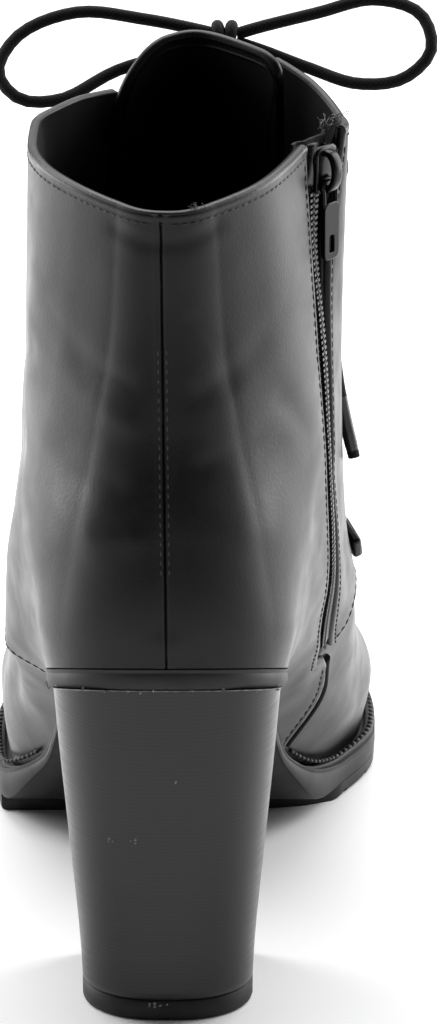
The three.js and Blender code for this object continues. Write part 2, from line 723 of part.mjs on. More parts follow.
// One end hangs on the inner side behind the rings, the other down the front.
const beside = (y, z, x = 0) => {
  const [u, t] = find(y * size.length, z * size.collarFront, 'medial');
  return offset(u, t, skinOuter + size.lace / 2 + 0.7).add(at(x, 0, 0));
};
const medialEnd = cord([
  bow(10, 14.8, 1.4), bow(13, 15.4, -5), bow(21, 12.5, -12), bow(29.5, 7.5, -18), bow(36.4, 0, -21.5),
  bow(37.6, -9, -24), beside(0.374, 0.841), beside(0.380, 0.769), beside(0.390, 0.683),
  beside(0.397, 0.606), beside(0.397, 0.534, 0.9),
]);
const lateralEnd = cord([
  bow(4, 14.8, 1.4), bow(1, 16.8, -8), bow(-4, 22.5, -26), bow(-9, 29.5, -46), bow(-11, 37, -64),
  bow(-11, 41, -77),
]);

// The middle of the top lift stands on the origin.
const heelCentre = (size.length * (liftPlan[1] + liftPlan[2])) / 2;
const boot = new THREE.Group();
boot.name = 'lace_up_ankle_boot';

function place(name, body, colour, roughness, metalness = 0) {
  const mesh = body.getMesh();
  const position = new THREE.BufferAttribute(new Float32Array(mesh.vertProperties), mesh.numProp);
  const geometry = new THREE.BufferGeometry();
  geometry.setAttribute('position', position);
  geometry.setIndex(Array.from(mesh.triVerts));
  geometry.translate(0, -heelCentre, 0);
  geometry.computeVertexNormals();
  const material = new THREE.MeshStandardMaterial({ color: colour, roughness, metalness });
  const node = new THREE.Mesh(geometry, material);
  node.name = name;
  boot.add(node);
}

const colours = {
  leather: 0x151516,
  lining: 0x1b1b1d,
  rubber: 0x101011,
  heel: 0x161616,
  zip: 0x0c0c0d,
  ring: 0x2a2a2c,
  lace: 0x101010,
};
place('upper', upperSolid, colours.leather, 0.4);
place('back_quarter', quarterSolid, colours.leather, 0.38);
place('lateral_facing', lateralFacing, colours.leather, 0.38);
place('medial_facing', medialFacing, colours.leather, 0.38);
place('tongue', tongueSolid, colours.lining, 0.6);
place('insole', insoleSolid, colours.lining, 0.8);
place('outsole', outsoleSolid, colours.rubber, 0.75);
place('welt', weltSolid, colours.rubber, 0.65);
place('heel_block', blockSolid, colours.heel, 0.55);
place('top_lift', liftSolid, colours.rubber, 0.8);
place('zip_tape', tapeSolid, colours.zip, 0.9);
place('zip_chain', chainSolid, colours.zip, 0.45);
place('zip_slider', sliderSolid, colours.zip, 0.3, 0.6);
place('zip_pull', pullSolid, colours.zip, 0.3, 0.6);
ringRows.forEach((_, i) => {
  place(`lateral_ring_${i + 1}`, ringSolid('lateral', i), colours.ring, 0.3, 0.9);
  place(`medial_ring_${i + 1}`, ringSolid('medial', i), colours.ring, 0.3, 0.9);
});
place('lace_crossings', crossings, colours.lace, 0.85);
place('lace_knot', knotSolid, colours.lace, 0.85);
place('lateral_loop', lateralLoop, colours.lace, 0.85);
place('medial_loop', medialLoop, colours.lace, 0.85);
place('lateral_end', lateralEnd, colours.lace, 0.85);
place('medial_end', medialEnd, colours.lace, 0.85);

export default boot;
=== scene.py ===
# %% [markdown]
# # Lace-up ankle boot with a block heel
# A left boot in smooth black leather, seen from straight behind and a little above. The packed
# solids are the frame: every piece here lies on them, in metres, and stands for one of them.
# The leather of the real boot is cut flat, stitched, pulled over a last and glued to the sole.
# The same last is rebuilt here as a function, so that each panel can be cut from one form.

# %% Load the frame
import math

import bmesh
import bpy
import numpy as np
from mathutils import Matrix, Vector


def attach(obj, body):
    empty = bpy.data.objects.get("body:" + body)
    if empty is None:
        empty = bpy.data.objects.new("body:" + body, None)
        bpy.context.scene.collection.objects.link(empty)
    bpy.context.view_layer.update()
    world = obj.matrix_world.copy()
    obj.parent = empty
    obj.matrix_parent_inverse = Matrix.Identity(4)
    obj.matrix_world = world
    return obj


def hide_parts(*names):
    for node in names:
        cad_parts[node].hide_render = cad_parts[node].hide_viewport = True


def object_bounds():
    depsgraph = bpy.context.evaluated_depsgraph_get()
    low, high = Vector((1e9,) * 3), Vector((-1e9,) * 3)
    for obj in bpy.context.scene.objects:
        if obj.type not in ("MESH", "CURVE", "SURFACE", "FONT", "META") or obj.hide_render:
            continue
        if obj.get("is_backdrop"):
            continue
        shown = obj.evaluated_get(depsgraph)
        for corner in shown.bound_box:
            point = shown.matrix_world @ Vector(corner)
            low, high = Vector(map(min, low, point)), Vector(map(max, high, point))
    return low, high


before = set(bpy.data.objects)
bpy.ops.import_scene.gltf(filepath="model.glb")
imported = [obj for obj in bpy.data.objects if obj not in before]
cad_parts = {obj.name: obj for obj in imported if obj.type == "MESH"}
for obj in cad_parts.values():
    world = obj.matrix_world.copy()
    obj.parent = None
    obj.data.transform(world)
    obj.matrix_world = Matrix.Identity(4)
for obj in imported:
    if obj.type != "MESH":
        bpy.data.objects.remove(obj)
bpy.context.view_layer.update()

# %% [markdown]
# ## Camera
# The photograph was taken with a long lens from behind, 20 degrees above the level. A long lens
# makes upright edges stay parallel, so the camera stands 2 m away and looks through 291 mm.

# %% Camera
photo_distance = 2.0
photo_tilt = math.radians(20)
photo_target = (0.0122, 0.046, 0.10486)
camera_data = bpy.data.cameras.new("photo_camera")
camera_data.lens = 290.68
camera_data.sensor_width = 36
camera = bpy.data.objects.new("photo_camera", camera_data)
bpy.context.scene.collection.objects.link(camera)
camera.location = (
    photo_target[0],
    photo_target[1] - photo_distance * math.cos(photo_tilt),
    photo_target[2] + photo_distance * math.sin(photo_tilt),
)
camera.rotation_euler = (math.pi / 2 - photo_tilt, 0, 0)
bpy.context.scene.camera = camera
print("camera", [round(v, 4) for v in camera.location])

# %% [markdown]
# ## The last
# A shoemaker's last is known by a few sections. Here they are short tables, in millimetres or in
# shares of named sizes: the bottom in side view, the back line and front ridge, and how far the
# inner and outer side reach out. Smooth curves join them, without overshoot, so the leather has
# no ripple but those listed further on. Y starts at the back of the counter. The centre of the
# sections swings a little to the inner side toward the toe, and a level above 1 goes on past the
# collar, leaning back.

# %% Sizes of the last
length = 242.0
half_ball = 47.5
heel_height = 87.6
collar_back = 203.0
collar_front = 208.0
gap = 0.3
wall_outer = -0.9
wall_inner = -3.0
skin_outer = 0.6
heel_centre = length * (0.033 + 0.207) / 2
swing_low, swing_high = 9.0, 7.0
above_back, above_rise = 14, 110

bottom_along = [0, 0.1, 0.2, 0.3, 0.4, 0.5, 0.58, 0.64, 0.77, 0.88, 1]
bottom_top = [1.064, 0.958, 0.849, 0.692, 0.489, 0.260, 0.142, 0.105, 0.101, 0.139, 0.228]
bottom_under = [1.000, 0.904, 0.808, 0.650, 0.445, 0.212, 0.048, 0.034, 0.034, 0.073, 0.167]
bottom_tread = [0, 0, 0, 0, 0, 0, 0, 0, 0, 0.039, 0.132]

levels = [0, 0.10, 0.27, 0.50, 0.75, 1.00]
back_along = [0.004, 0.000, 0.008, 0.025, 0.031, 0.023]
back_rise = [0.000, 0.105, 0.279, 0.516, 0.753, 1.000]
front_along = [1.004, 0.994, 0.876, 0.682, 0.541, 0.446]
front_rise = [0.000, 0.084, 0.217, 0.382, 0.648, 1.000]
heel_closing = [0.115, 0.125, 0.170, 0.270, 0.350, 0.400]
toe_closing = [0.260, 0.300, 0.420, 0.450, 0.420, 0.420]

reach_along = [0.06, 0.18, 0.33, 0.46, 0.60, 0.72, 0.85, 1.00]
outer_reach = np.array([
    [0.580, 0.600, 0.600, 0.550, 0.465, 0.440],
    [0.600, 0.665, 0.695, 0.655, 0.590, 0.535],
    [0.560, 0.825, 0.810, 0.725, 0.685, 0.630],
    [0.630, 0.790, 0.810, 0.755, 0.703, 0.675],
    [0.860, 0.905, 0.830, 0.755, 0.695, 0.665],
    [0.890, 0.930, 0.780, 0.705, 0.640, 0.590],
    [0.840, 0.870, 0.680, 0.610, 0.550, 0.505],
    [0.760, 0.780, 0.560, 0.485, 0.420, 0.380],
])
inner_reach = np.array([
    [0.580, 0.600, 0.600, 0.550, 0.465, 0.440],
    [0.595, 0.665, 0.695, 0.675, 0.610, 0.535],
    [0.525, 0.760, 0.840, 0.800, 0.715, 0.610],
    [0.585, 0.830, 0.915, 0.865, 0.810, 0.700],
    [0.815, 1.010, 0.995, 0.900, 0.870, 0.895],
    [1.040, 1.100, 0.960, 0.830, 0.805, 0.855],
    [1.060, 1.080, 0.830, 0.715, 0.735, 0.770],
    [0.980, 0.960, 0.720, 0.630, 0.590, 0.570],
])
print("last", length, "mm long,", 2 * half_ball, "mm over the ball")


# %% Smooth curves through the tables
def smooth_curve(knots, values, places):
    """Values at some places on a curve through the knots that never overshoots."""
    places = np.asarray(places, float)
    values = np.asarray(values, float)
    if values.ndim == 1:
        values = np.repeat(values[:, None], places.size, axis=1)
    knots = np.asarray(knots, float)
    width = np.diff(knots)
    slope = np.diff(values, axis=0) / width[:, None]
    before, after = slope[:-1], slope[1:]
    same = before * after > 0
    middle = np.where(same, 2 * before * after / np.where(same, before + after, 1), 0)
    tangent = np.concatenate([slope[:1], middle, slope[-1:]])
    cell = np.clip(np.searchsorted(knots, places) - 1, 0, len(knots) - 2)
    column = np.arange(places.size)
    low, high = values[cell, column], values[cell + 1, column]
    low_turn, high_turn = tangent[cell, column], tangent[cell + 1, column]
    span = width[cell]
    share = (places - knots[cell]) / span
    s = np.clip(share, 0, 1)
    inside = (1 + 2 * s) * (1 - s) ** 2 * low + s * (1 - s) ** 2 * span * low_turn
    inside += s * s * (3 - 2 * s) * high + s * s * (s - 1) * span * high_turn
    return inside + np.minimum(share, 0) * span * low_turn + np.maximum(share - 1, 0) * span * high_turn


def mix(a, b, share):
    return a + (b - a) * share


def feather(y):
    """Height of the line where the upper meets the sole."""
    return smooth_curve(bottom_along, bottom_top, np.ravel(y) / length) * heel_height


def underside(y):
    return smooth_curve(bottom_along, bottom_under, np.ravel(y) / length) * heel_height


def tread_height(y):
    rise = smooth_curve(bottom_along, bottom_tread, np.ravel(y) / length) * heel_height
    return np.maximum(rise, 0)


sole_back = (back_along[0] * length, feather(back_along[0] * length)[0] + gap)
sole_front = (front_along[0] * length, feather(front_along[0] * length)[0] + gap)
top_back = (back_along[-1] * length, collar_back)
top_front = (front_along[-1] * length, collar_front)
print("sole line from", np.round(sole_back, 1), "to", np.round(sole_front, 1))


# %% The form of the upper
def side_view(v, t):
    """Y and Z of the form: v from back to front, t from the sole to the collar."""
    sole_y = mix(sole_back[0], sole_front[0], v)
    soles = (sole_y, feather(sole_y) + gap)
    backs = (
        smooth_curve(levels, back_along, t) * length,
        mix(sole_back[1], top_back[1], smooth_curve(levels, back_rise, t)),
    )
    fronts = (
        smooth_curve(levels, front_along, t) * length,
        mix(sole_front[1], top_front[1], smooth_curve(levels, front_rise, t)),
    )
    edges = []
    for k, (sole, back, front) in enumerate(zip(soles, backs, fronts)):
        collar = mix(top_back[k], top_front[k], v)
        low = mix(sole_back[k], sole_front[k], v)
        edges.append(mix(back, front, v) + mix(sole, collar, t) - mix(low, collar, t))
    return edges


def reach(table, v, t):
    clipped = np.maximum(v, reach_along[0])
    rows = [smooth_curve(reach_along, table[:, k] * half_ball, clipped) for k in range(len(levels))]
    return smooth_curve(levels, np.array(rows), t)


def form(loop, level):
    """Points of the upper's outer form: loop 0 is the back seam and 0.5 the front ridge."""
    loop, level = np.broadcast_arrays(np.asarray(loop, float), np.asarray(level, float))
    shape = loop.shape
    loop = np.mod(loop.ravel(), 1.0)
    level = level.ravel()
    t = np.minimum(level, 1)
    above = level - t
    v = (1 - np.cos(2 * np.pi * loop)) / 2
    outer_side = loop < 0.5
    sign = np.where(outer_side, -1.0, 1.0)
    y, z = side_view(v, t)
    centre = mix(swing_low, swing_high, t) * v
    heel = smooth_curve(levels, heel_closing, t)
    toe = smooth_curve(levels, toe_closing, t)
    at_heel = np.sqrt(np.clip(1 - (1 - v / heel) ** 2, 0, 1))
    at_toe = np.sqrt(np.clip(1 - (1 - (1 - v) / toe) ** 2, 0, 1))
    close = np.where(v < heel, at_heel, 1.0)
    close = np.where(v > 1 - toe, at_toe, close)
    side = np.where(outer_side, reach(outer_reach, v, t), reach(inner_reach, v, t))
    x = centre + sign * (side - sign * centre) * close
    points = np.stack([x, y - above_back * above, z + above_rise * above], -1)
    return points.reshape(shape + (3,))


def unit(vectors):
    return vectors / np.maximum(np.linalg.norm(vectors, axis=-1, keepdims=True), 1e-12)


def upward(loop, level, step=0.004):
    return unit(form(loop, np.asarray(level) + step) - form(loop, np.maximum(np.asarray(level) - step, 0)))


def outward(loop, level, step=0.004):
    """Unit direction out of the leather."""
    level = np.asarray(level, float)
    around = form(np.asarray(loop) + step, level) - form(np.asarray(loop) - step, level)
    rise = form(loop, level + step) - form(loop, np.maximum(level - step, 0))
    return unit(np.cross(rise, around))


def to_frame(points):
    """Millimetres from the counter's back to metres in the model's frame."""
    moved = np.array(points, float)
    moved[..., 1] -= heel_centre
    return moved * 0.001


print("collar front", np.round(form(0.5, 1.0), 1))


# %% Find a place of the side view on the form
guess_v, guess_t = [g.ravel() for g in np.meshgrid(np.linspace(0, 1, 61), np.linspace(0, 1, 61))]
guess_y, guess_z = side_view(guess_v, guess_t)


def find(y, z, inner_side):
    """Loop and level that lie over places in the side view, by Newton steps from a coarse grid."""
    y, z = np.broadcast_arrays(np.atleast_1d(y).astype(float), np.atleast_1d(z).astype(float))
    nearest = np.argmin((guess_y - y[:, None]) ** 2 + (guess_z - z[:, None]) ** 2, axis=1)
    v, t = guess_v[nearest], guess_t[nearest]
    step = 1e-4
    for _ in range(12):
        y0, z0 = side_view(v, t)
        y1, z1 = side_view(v + step, t)
        y2, z2 = side_view(v, t + step)
        a, b = (y1 - y0) / step, (y2 - y0) / step
        c, d = (z1 - z0) / step, (z2 - z0) / step
        size = a * d - b * c
        size = np.where(np.abs(size) < 1e-9, 1e-9, size)
        v = np.clip(v - (d * (y0 - y) - b * (z0 - z)) / size, 0, 1)
        t = np.clip(t - (a * (z0 - z) - c * (y0 - y)) / size, 0, 1)
    loop = np.arccos(1 - 2 * v) / (2 * np.pi)
    return (1 - loop if inner_side else loop), t


# %% [markdown]
# ## Materials
# Each finish is a small tree on one shader. The leather is smooth and black, with a fine grain
# and soft uneven gloss. The lining is a matt cloth, the sole a dull rubber, the heel
# a pressed stack with level lines, the zip half-gloss plastic, the rings dark metal and the lace
# a round braid. Patterns read the object's own coordinates, so they stay put on the boot.

# %% Material helpers
def add(owner, kind, **settings):
    """A node with some inputs or properties set: a space in an input's name is written _."""
    made = getattr(owner, "node_tree", owner).nodes.new(kind)
    for name, value in settings.items():
        socket = name.replace("_", " ")
        if socket in made.inputs:
            made.inputs[socket].default_value = value
        else:
            setattr(made, name, value)
    return made


def join(owner, start, end):
    getattr(owner, "node_tree", owner).links.new(start, end)


def reckon(owner, operation, *values):
    """A sum on values, each another node's output or a plain number."""
    made = add(owner, "ShaderNodeMath", operation=operation)
    for socket, value in zip(made.inputs, values):
        if isinstance(value, (int, float)):
            socket.default_value = value
        else:
            join(owner, value, socket)
    return made.outputs[0]


def finish(name, colour, roughness, **sockets):
    """A material with its even values on the shader's own sockets."""
    material = bpy.data.materials.new(name)
    material.use_nodes = True
    shader = material.node_tree.nodes["Principled BSDF"]
    shader.inputs["Base Color"].default_value = (*colour, 1)
    shader.inputs["Roughness"].default_value = roughness
    for socket, value in sockets.items():
        shader.inputs[socket.replace("_", " ")].default_value = value
    return material, shader


def cloud(material, size_mm, detail=3.0, stretch=(1, 1, 1)):
    """Soft noise whose spots are about this many millimetres across."""
    place = add(material, "ShaderNodeTexCoord")
    turn = add(material, "ShaderNodeMapping", Scale=stretch)
    noise = add(material, "ShaderNodeTexNoise", Scale=1000 / size_mm, Detail=detail)
    join(material, place.outputs["Object"], turn.inputs["Vector"])
    join(material, turn.outputs["Vector"], noise.inputs["Vector"])
    return noise.outputs["Fac"]


def ramp(material, source, stops):
    """Colours along a 0 to 1 value: stops are (place, colour)."""
    made = add(material, "ShaderNodeValToRGB")
    while len(made.color_ramp.elements) < len(stops):
        made.color_ramp.elements.new(0.5)
    for element, (place, colour) in zip(made.color_ramp.elements, stops):
        element.position = place
        element.color = (*colour, 1)
    join(material, source, made.inputs["Fac"])
    return made.outputs["Color"]


def spread(material, source, low, high):
    """A value between low and high that follows the middle of a noise."""
    made = add(material, "ShaderNodeMapRange", From_Min=0.3, From_Max=0.7, To_Min=low, To_Max=high)
    join(material, source, made.inputs["Value"])
    return made.outputs["Result"]


def bumps(material, shader, layers):
    """Stacks bumps, each a (height, depth in mm, strength)."""
    before = None
    for source, depth_mm, strength in layers:
        made = add(material, "ShaderNodeBump", Strength=strength, Distance=depth_mm * 0.001)
        join(material, source, made.inputs["Height"])
        if before is not None:
            join(material, before, made.inputs["Normal"])
        before = made.outputs["Normal"]
    join(material, before, shader.inputs["Normal"])


# %% Leather, lining and rubber
def leather(name, colour, roughness, grain_mm=0.75, grain_depth=0.05):
    material, shader = finish(name, colour, roughness, Specular_IOR_Level=0.22)
    patches = cloud(material, 26, 2)
    lighter = tuple(1.45 * c for c in colour)
    stops = [(0.35, colour), (0.75, lighter)]
    join(material, ramp(material, patches, stops), shader.inputs["Base Color"])
    join(material, spread(material, cloud(material, 9, 4), roughness - 0.05, roughness + 0.06),
         shader.inputs["Roughness"])
    pebbles = add(material, "ShaderNodeTexVoronoi", Scale=1000 / grain_mm)
    place = add(material, "ShaderNodeTexCoord")
    join(material, place.outputs["Object"], pebbles.inputs["Vector"])
    bumps(material, shader, [
        (cloud(material, 7, 2), 0.20, 0.15),
        (cloud(material, 1.6, 3), 0.06, 0.18),
        (pebbles.outputs["Distance"], grain_depth, 0.35),
    ])
    return material


black_leather = leather("black_leather", (0.0038, 0.0038, 0.0040), 0.33)
# A lighter copy of the black leather: a painted highlight for the rolled rims of the collar and the tongue.
rim_highlight_leather = leather("folded_edge_painted_highlight_leather", (0.0075, 0.0075, 0.0077), 0.30)

lining_cloth, shader = finish("black_lining", (0.0055, 0.0055, 0.0056), 0.9, Specular_IOR_Level=0.2)
join(lining_cloth, ramp(lining_cloth, cloud(lining_cloth, 14, 3), [
    (0.3, (0.004, 0.004, 0.0041)), (0.8, (0.008, 0.008, 0.0082)),
]), shader.inputs["Base Color"])
bumps(lining_cloth, shader, [
    (cloud(lining_cloth, 0.5, 2), 0.08, 0.5),
    (cloud(lining_cloth, 6, 2), 0.4, 0.2),
])


def rubber(name, colour, roughness):
    material, shader = finish(name, colour, roughness, Specular_IOR_Level=0.26)
    stops = [(0.35, colour), (0.8, tuple(1.6 * c for c in colour))]
    join(material, ramp(material, cloud(material, 5, 5), stops), shader.inputs["Base Color"])
    join(material, spread(material, cloud(material, 12, 4), roughness - 0.08, roughness + 0.08),
         shader.inputs["Roughness"])
    bumps(material, shader, [
        (cloud(material, 0.6, 3), 0.05, 0.35),
        (cloud(material, 0.22, 2), 0.02, 0.3),
    ])
    return material


sole_rubber = rubber("black_rubber", (0.0105, 0.0105, 0.0107), 0.5)
lift_rubber = rubber("top_lift_rubber", (0.013, 0.013, 0.0132), 0.6)
print("leather and rubber ready")

# %% [markdown]
# The heel block is a stack in look: pressed layers leave fine level lines all round. A wave along
# Z with a little noise gives them, in colour and in relief. A few pale scuffs sit low on it.

# %% Stacked heel
wave_scale = 330
stacked_heel, shader = finish(
    "stacked_heel", (0.008, 0.008, 0.008), 0.36,
    Specular_IOR_Level=0.3, Coat_Weight=0.2, Coat_Roughness=0.18,
)
layers = add(
    stacked_heel, "ShaderNodeTexWave", bands_direction="Z",
    Scale=wave_scale, Distortion=2.0, Detail=3, Detail_Scale=1.5,
)
place = add(stacked_heel, "ShaderNodeTexCoord")
join(stacked_heel, place.outputs["Object"], layers.inputs["Vector"])
fibres = cloud(stacked_heel, 3.5, 5, (0.25, 0.25, 6))
tone = add(stacked_heel, "ShaderNodeMix", data_type="FLOAT")
tone.inputs[0].default_value = 0.55
join(stacked_heel, layers.outputs["Fac"], tone.inputs[2])
join(stacked_heel, fibres, tone.inputs[3])
join(stacked_heel, ramp(stacked_heel, tone.outputs[0], [
    (0.25, (0.0055, 0.0055, 0.0055)), (0.6, (0.008, 0.008, 0.008)), (0.95, (0.014, 0.014, 0.014)),
]), shader.inputs["Base Color"])
join(stacked_heel, spread(stacked_heel, fibres, 0.30, 0.42), shader.inputs["Roughness"])
bumps(stacked_heel, shader, [(layers.outputs["Fac"], 0.03, 0.16), (fibres, 0.04, 0.22)])
print("heel lines", round(1000 * math.tau / 20 / wave_scale, 2), "mm apart")

# %% [markdown]
# The lace is a braid of crossing strands. Its tube carries a UV map with one turn across and its
# real length along, so two slanted sine waves, multiplied, draw the diamonds of the braid in relief
# and in colour; the colour darkens where the relief is low, as painted shade in the hollows.

# %% Braid, thread, tape and metals
def braid(name, colour, strands):
    material, shader = finish(name, colour, 0.85, Specular_IOR_Level=0.25)
    place = add(material, "ShaderNodeUVMap", uv_map="along")
    parts = add(material, "ShaderNodeSeparateXYZ")
    join(material, place.outputs["UV"], parts.inputs["Vector"])
    waves = []
    for operation in ("ADD", "SUBTRACT"):
        slant = reckon(material, operation, parts.outputs["X"], parts.outputs["Y"])
        waves.append(reckon(material, "SINE", reckon(material, "MULTIPLY", slant, math.pi * strands)))
    height = reckon(material, "ABSOLUTE", reckon(material, "MULTIPLY", *waves))
    # Painted shade: darker where the braid's relief is low, lighter on the crowns.
    stops = [(0.05, tuple(0.6 * c for c in colour)), (0.8, tuple(1.3 * c for c in colour))]
    join(material, ramp(material, height, stops), shader.inputs["Base Color"])
    bumps(material, shader, [(height, 0.16, 0.45), (cloud(material, 0.3, 2), 0.06, 0.5)])
    return material


lace_braid = braid("lace_braid", (0.0070, 0.0070, 0.0072), 8)


def plain(name, colour, roughness, grain_mm, depth, **sockets):
    material, shader = finish(name, colour, roughness, **sockets)
    stops = [(0.3, tuple(0.75 * c for c in colour)), (0.8, tuple(1.35 * c for c in colour))]
    join(material, ramp(material, cloud(material, 4 * grain_mm, 3), stops), shader.inputs["Base Color"])
    join(material, spread(material, cloud(material, 6 * grain_mm, 3), roughness * 0.8, roughness * 1.25),
         shader.inputs["Roughness"])
    bumps(material, shader, [(cloud(material, grain_mm, 3), depth, 0.4)])
    return material


seam_thread = plain("seam_thread", (0.020, 0.020, 0.0205), 0.5, 0.25, 0.04)
dark_thread = plain("dark_thread", (0.0045, 0.0045, 0.0046), 0.7, 0.25, 0.04)
welt_thread = plain("welt_thread", (0.030, 0.030, 0.030), 0.6, 0.3, 0.05)
zip_tape_weave = plain("zip_tape_weave", (0.004, 0.004, 0.0042), 0.9, 0.35, 0.10)
zip_plastic = plain(
    "zip_teeth", (0.006, 0.006, 0.0062), 0.32, 1.5, 0.01, Specular_IOR_Level=0.32,
)
gloss_black = plain(
    "gloss_black_metal", (0.003, 0.003, 0.0032), 0.22, 2.5, 0.01, Specular_IOR_Level=0.15,
)
ring_metal = plain("dark_ring_metal", (0.17, 0.17, 0.18), 0.24, 1.2, 0.01, Metallic=1.0)
ring_tip = plain("lace_tip_plastic", (0.016, 0.016, 0.0165), 0.28, 1.0, 0.02)
glue = plain("dried_glue", (0.20, 0.20, 0.195), 0.7, 0.8, 0.10)
print(len(bpy.data.materials), "materials")

# %% [markdown]
# ## Lace: knot, bow and two ends
# The lace is a limp round cord, 3 mm thick. The bow lies over the top of the tongue, spread with
# a loop to each side. One end hangs down the inner side of the boot and the other down its
# front. Each loop leaves the knot and goes back into it. The routes are those of the
# solids, so they are given in the same places: as steps from the front of the collar.

# %% Curves
def spline(points, count, closed=False):
    """Evenly spaced points on a centripetal curve through the given ones."""
    points = np.asarray(points, float)
    if closed:
        ends = np.vstack([points[-1:], points, points[:2]])
    else:
        ends = np.vstack([2 * points[:1] - points[1:2], points, 2 * points[-1:] - points[-2:-1]])
    share = np.linspace(0, 1, 24, endpoint=False)[:, None]
    dense = []
    for p0, p1, p2, p3 in zip(ends, ends[1:], ends[2:], ends[3:]):
        d0, d1, d2 = [max(np.linalg.norm(b - a) ** 0.5, 1e-4) for a, b in ((p0, p1), (p1, p2), (p2, p3))]
        start = ((p1 - p0) / d0 - (p2 - p0) / (d0 + d1) + (p2 - p1) / d1) * d1
        stop = ((p2 - p1) / d1 - (p3 - p1) / (d1 + d2) + (p3 - p2) / d2) * d1
        a = (1 + 2 * share) * (1 - share) ** 2
        b = share * (1 - share) ** 2
        c = share ** 2 * (3 - 2 * share)
        d = share ** 2 * (share - 1)
        dense.append(a * p1 + b * start + c * p2 + d * stop)
    dense.append(points[:1] if closed else points[-1:])
    line = np.vstack(dense)
    run = np.r_[0, np.cumsum(np.linalg.norm(np.diff(line, axis=0), axis=1))]
    where = np.linspace(0, run[-1], count, endpoint=not closed)
    return np.stack([np.interp(where, run, line[:, k]) for k in range(3)], -1)


def line_length(points):
    return float(np.linalg.norm(np.diff(points, axis=0), axis=1).sum())


# %% Meshes
def make_piece(name, points, faces, materials, chosen=None, smooth_angle=38):
    """A mesh object at the origin with its place in its mesh."""
    mesh = bpy.data.meshes.new(name)
    mesh.from_pydata([tuple(p) for p in points], [], [tuple(f) for f in faces])
    for material in materials:
        mesh.materials.append(material)
    if chosen is not None:
        mesh.polygons.foreach_set("material_index", np.asarray(chosen, np.int32))
    mesh.shade_smooth()
    mesh.set_sharp_from_angle(angle=math.radians(smooth_angle))
    mesh.update()
    piece = bpy.data.objects.new(name, mesh)
    bpy.context.scene.collection.objects.link(piece)
    return piece


def turn_out(piece):
    """Makes a closed piece's faces point outwards, after merging double points."""
    work = bmesh.new()
    work.from_mesh(piece.data)
    bmesh.ops.remove_doubles(work, verts=work.verts, dist=1e-7)
    bmesh.ops.recalc_face_normals(work, faces=work.faces)
    work.to_mesh(piece.data)
    work.free()
    return piece


# %% Tubes, and what a piece stands for
def tube(name, path_mm, radius_mm, sides, material, closed=False):
    """A round tube along a path, with a UV map of its turns and length."""
    path = np.asarray(path_mm, float)
    radius = np.broadcast_to(np.asarray(radius_mm, float), len(path)).copy()
    if closed:
        along = unit(np.roll(path, -1, 0) - np.roll(path, 1, 0))
    else:
        along = unit(np.gradient(path, axis=0))
    side = unit(np.cross(along[0], [0.3, 0.2, 0.9]))
    rings = []
    for k in range(len(path)):
        side = unit(side - along[k] * side.dot(along[k]))
        other = np.cross(along[k], side)
        angle = np.arange(sides) * 2 * np.pi / sides
        rings.append(path[k] + radius[k] * (np.cos(angle)[:, None] * side + np.sin(angle)[:, None] * other))
    points = np.concatenate(rings)
    count = len(path)
    faces = []
    for k in range(count if closed else count - 1):
        for j in range(sides):
            a, b = k * sides + j, k * sides + (j + 1) % sides
            c, d = ((k + 1) % count) * sides + (j + 1) % sides, ((k + 1) % count) * sides + j
            faces.append((a, b, c, d))
    if not closed:
        faces.append(tuple(reversed(range(sides))))
        faces.append(tuple(range((count - 1) * sides, count * sides)))
    piece = make_piece(name, to_frame(points), faces, [material], smooth_angle=50)
    run = np.r_[0, np.cumsum(np.linalg.norm(np.diff(path, axis=0), axis=1))] / (2 * np.pi * radius.mean())
    uv = piece.data.uv_layers.new(name="along")
    for polygon in piece.data.polygons:
        for loop_index in polygon.loop_indices:
            vertex = piece.data.loops[loop_index].vertex_index
            k, j = divmod(vertex, sides)
            place = j / sides
            if polygon.index % sides == sides - 1 and j == 0:
                place = 1.0
            uv.data[loop_index].uv = (place, run[k])
    return turn_out(piece)


def belongs(piece, nodes=(), body="boot"):
    """The piece rides on a body and stands for its CAD nodes, which it hides."""
    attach(piece, body)
    if nodes:
        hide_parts(*nodes)
    return piece


# %% Knot, loops and ends
lace_radius = 1.5
throat_top = form(0.5, 1.0)


def bow(x, y, z):
    return throat_top + np.array([x, y, z])


def beside(along, height, out=0.0):
    loop, level = find(along * length, height * collar_front, True)
    place = form(loop, level) + outward(loop, level) * (skin_outer + lace_radius + 0.7)
    return place[0] + np.array([out, 0, 0])


routes = {
    "lateral_loop": [
        bow(4.4, 9.8, 4.6), bow(-1, 10, 5.9), bow(-13, 11, 8), bow(-29, 10, 10), bow(-43, 6, 5.5),
        bow(-48, 0, -2), bow(-43, -4, -7.5), bow(-33, -1.5, -8.5), bow(-19, 6.5, -3.5),
        bow(-1, 9.2, 0.9), bow(4.6, 9.8, 2.6),
    ],
    "medial_loop": [
        bow(9.6, 9.8, 4.6), bow(15, 10, 6.2), bow(29, 11, 9.5), bow(43, 9, 13.5), bow(54, 5, 11),
        bow(56.5, 0, 3.5), bow(50, -2, -3), bow(39, 0, -5), bow(27, 6.5, -3), bow(15, 9.2, 0.9),
        bow(9.4, 9.8, 2.6),
    ],
    "medial_end": [
        bow(10, 14.8, 1.4), bow(13, 15.4, -5), bow(21, 12.5, -12), bow(28.5, 7.0, -18),
        bow(33.8, 0, -21.5), bow(35.0, -9, -24.5), beside(0.374, 0.841), beside(0.380, 0.769),
        beside(0.390, 0.683), beside(0.397, 0.606), beside(0.397, 0.534, 0.9),
    ],
    "lateral_end": [
        bow(4, 14.8, 1.4), bow(1, 16.8, -8), bow(-4, 22.5, -26), bow(-9, 29.5, -46),
        bow(-11, 37, -64), bow(-11, 41, -77),
    ],
}
cords = {}
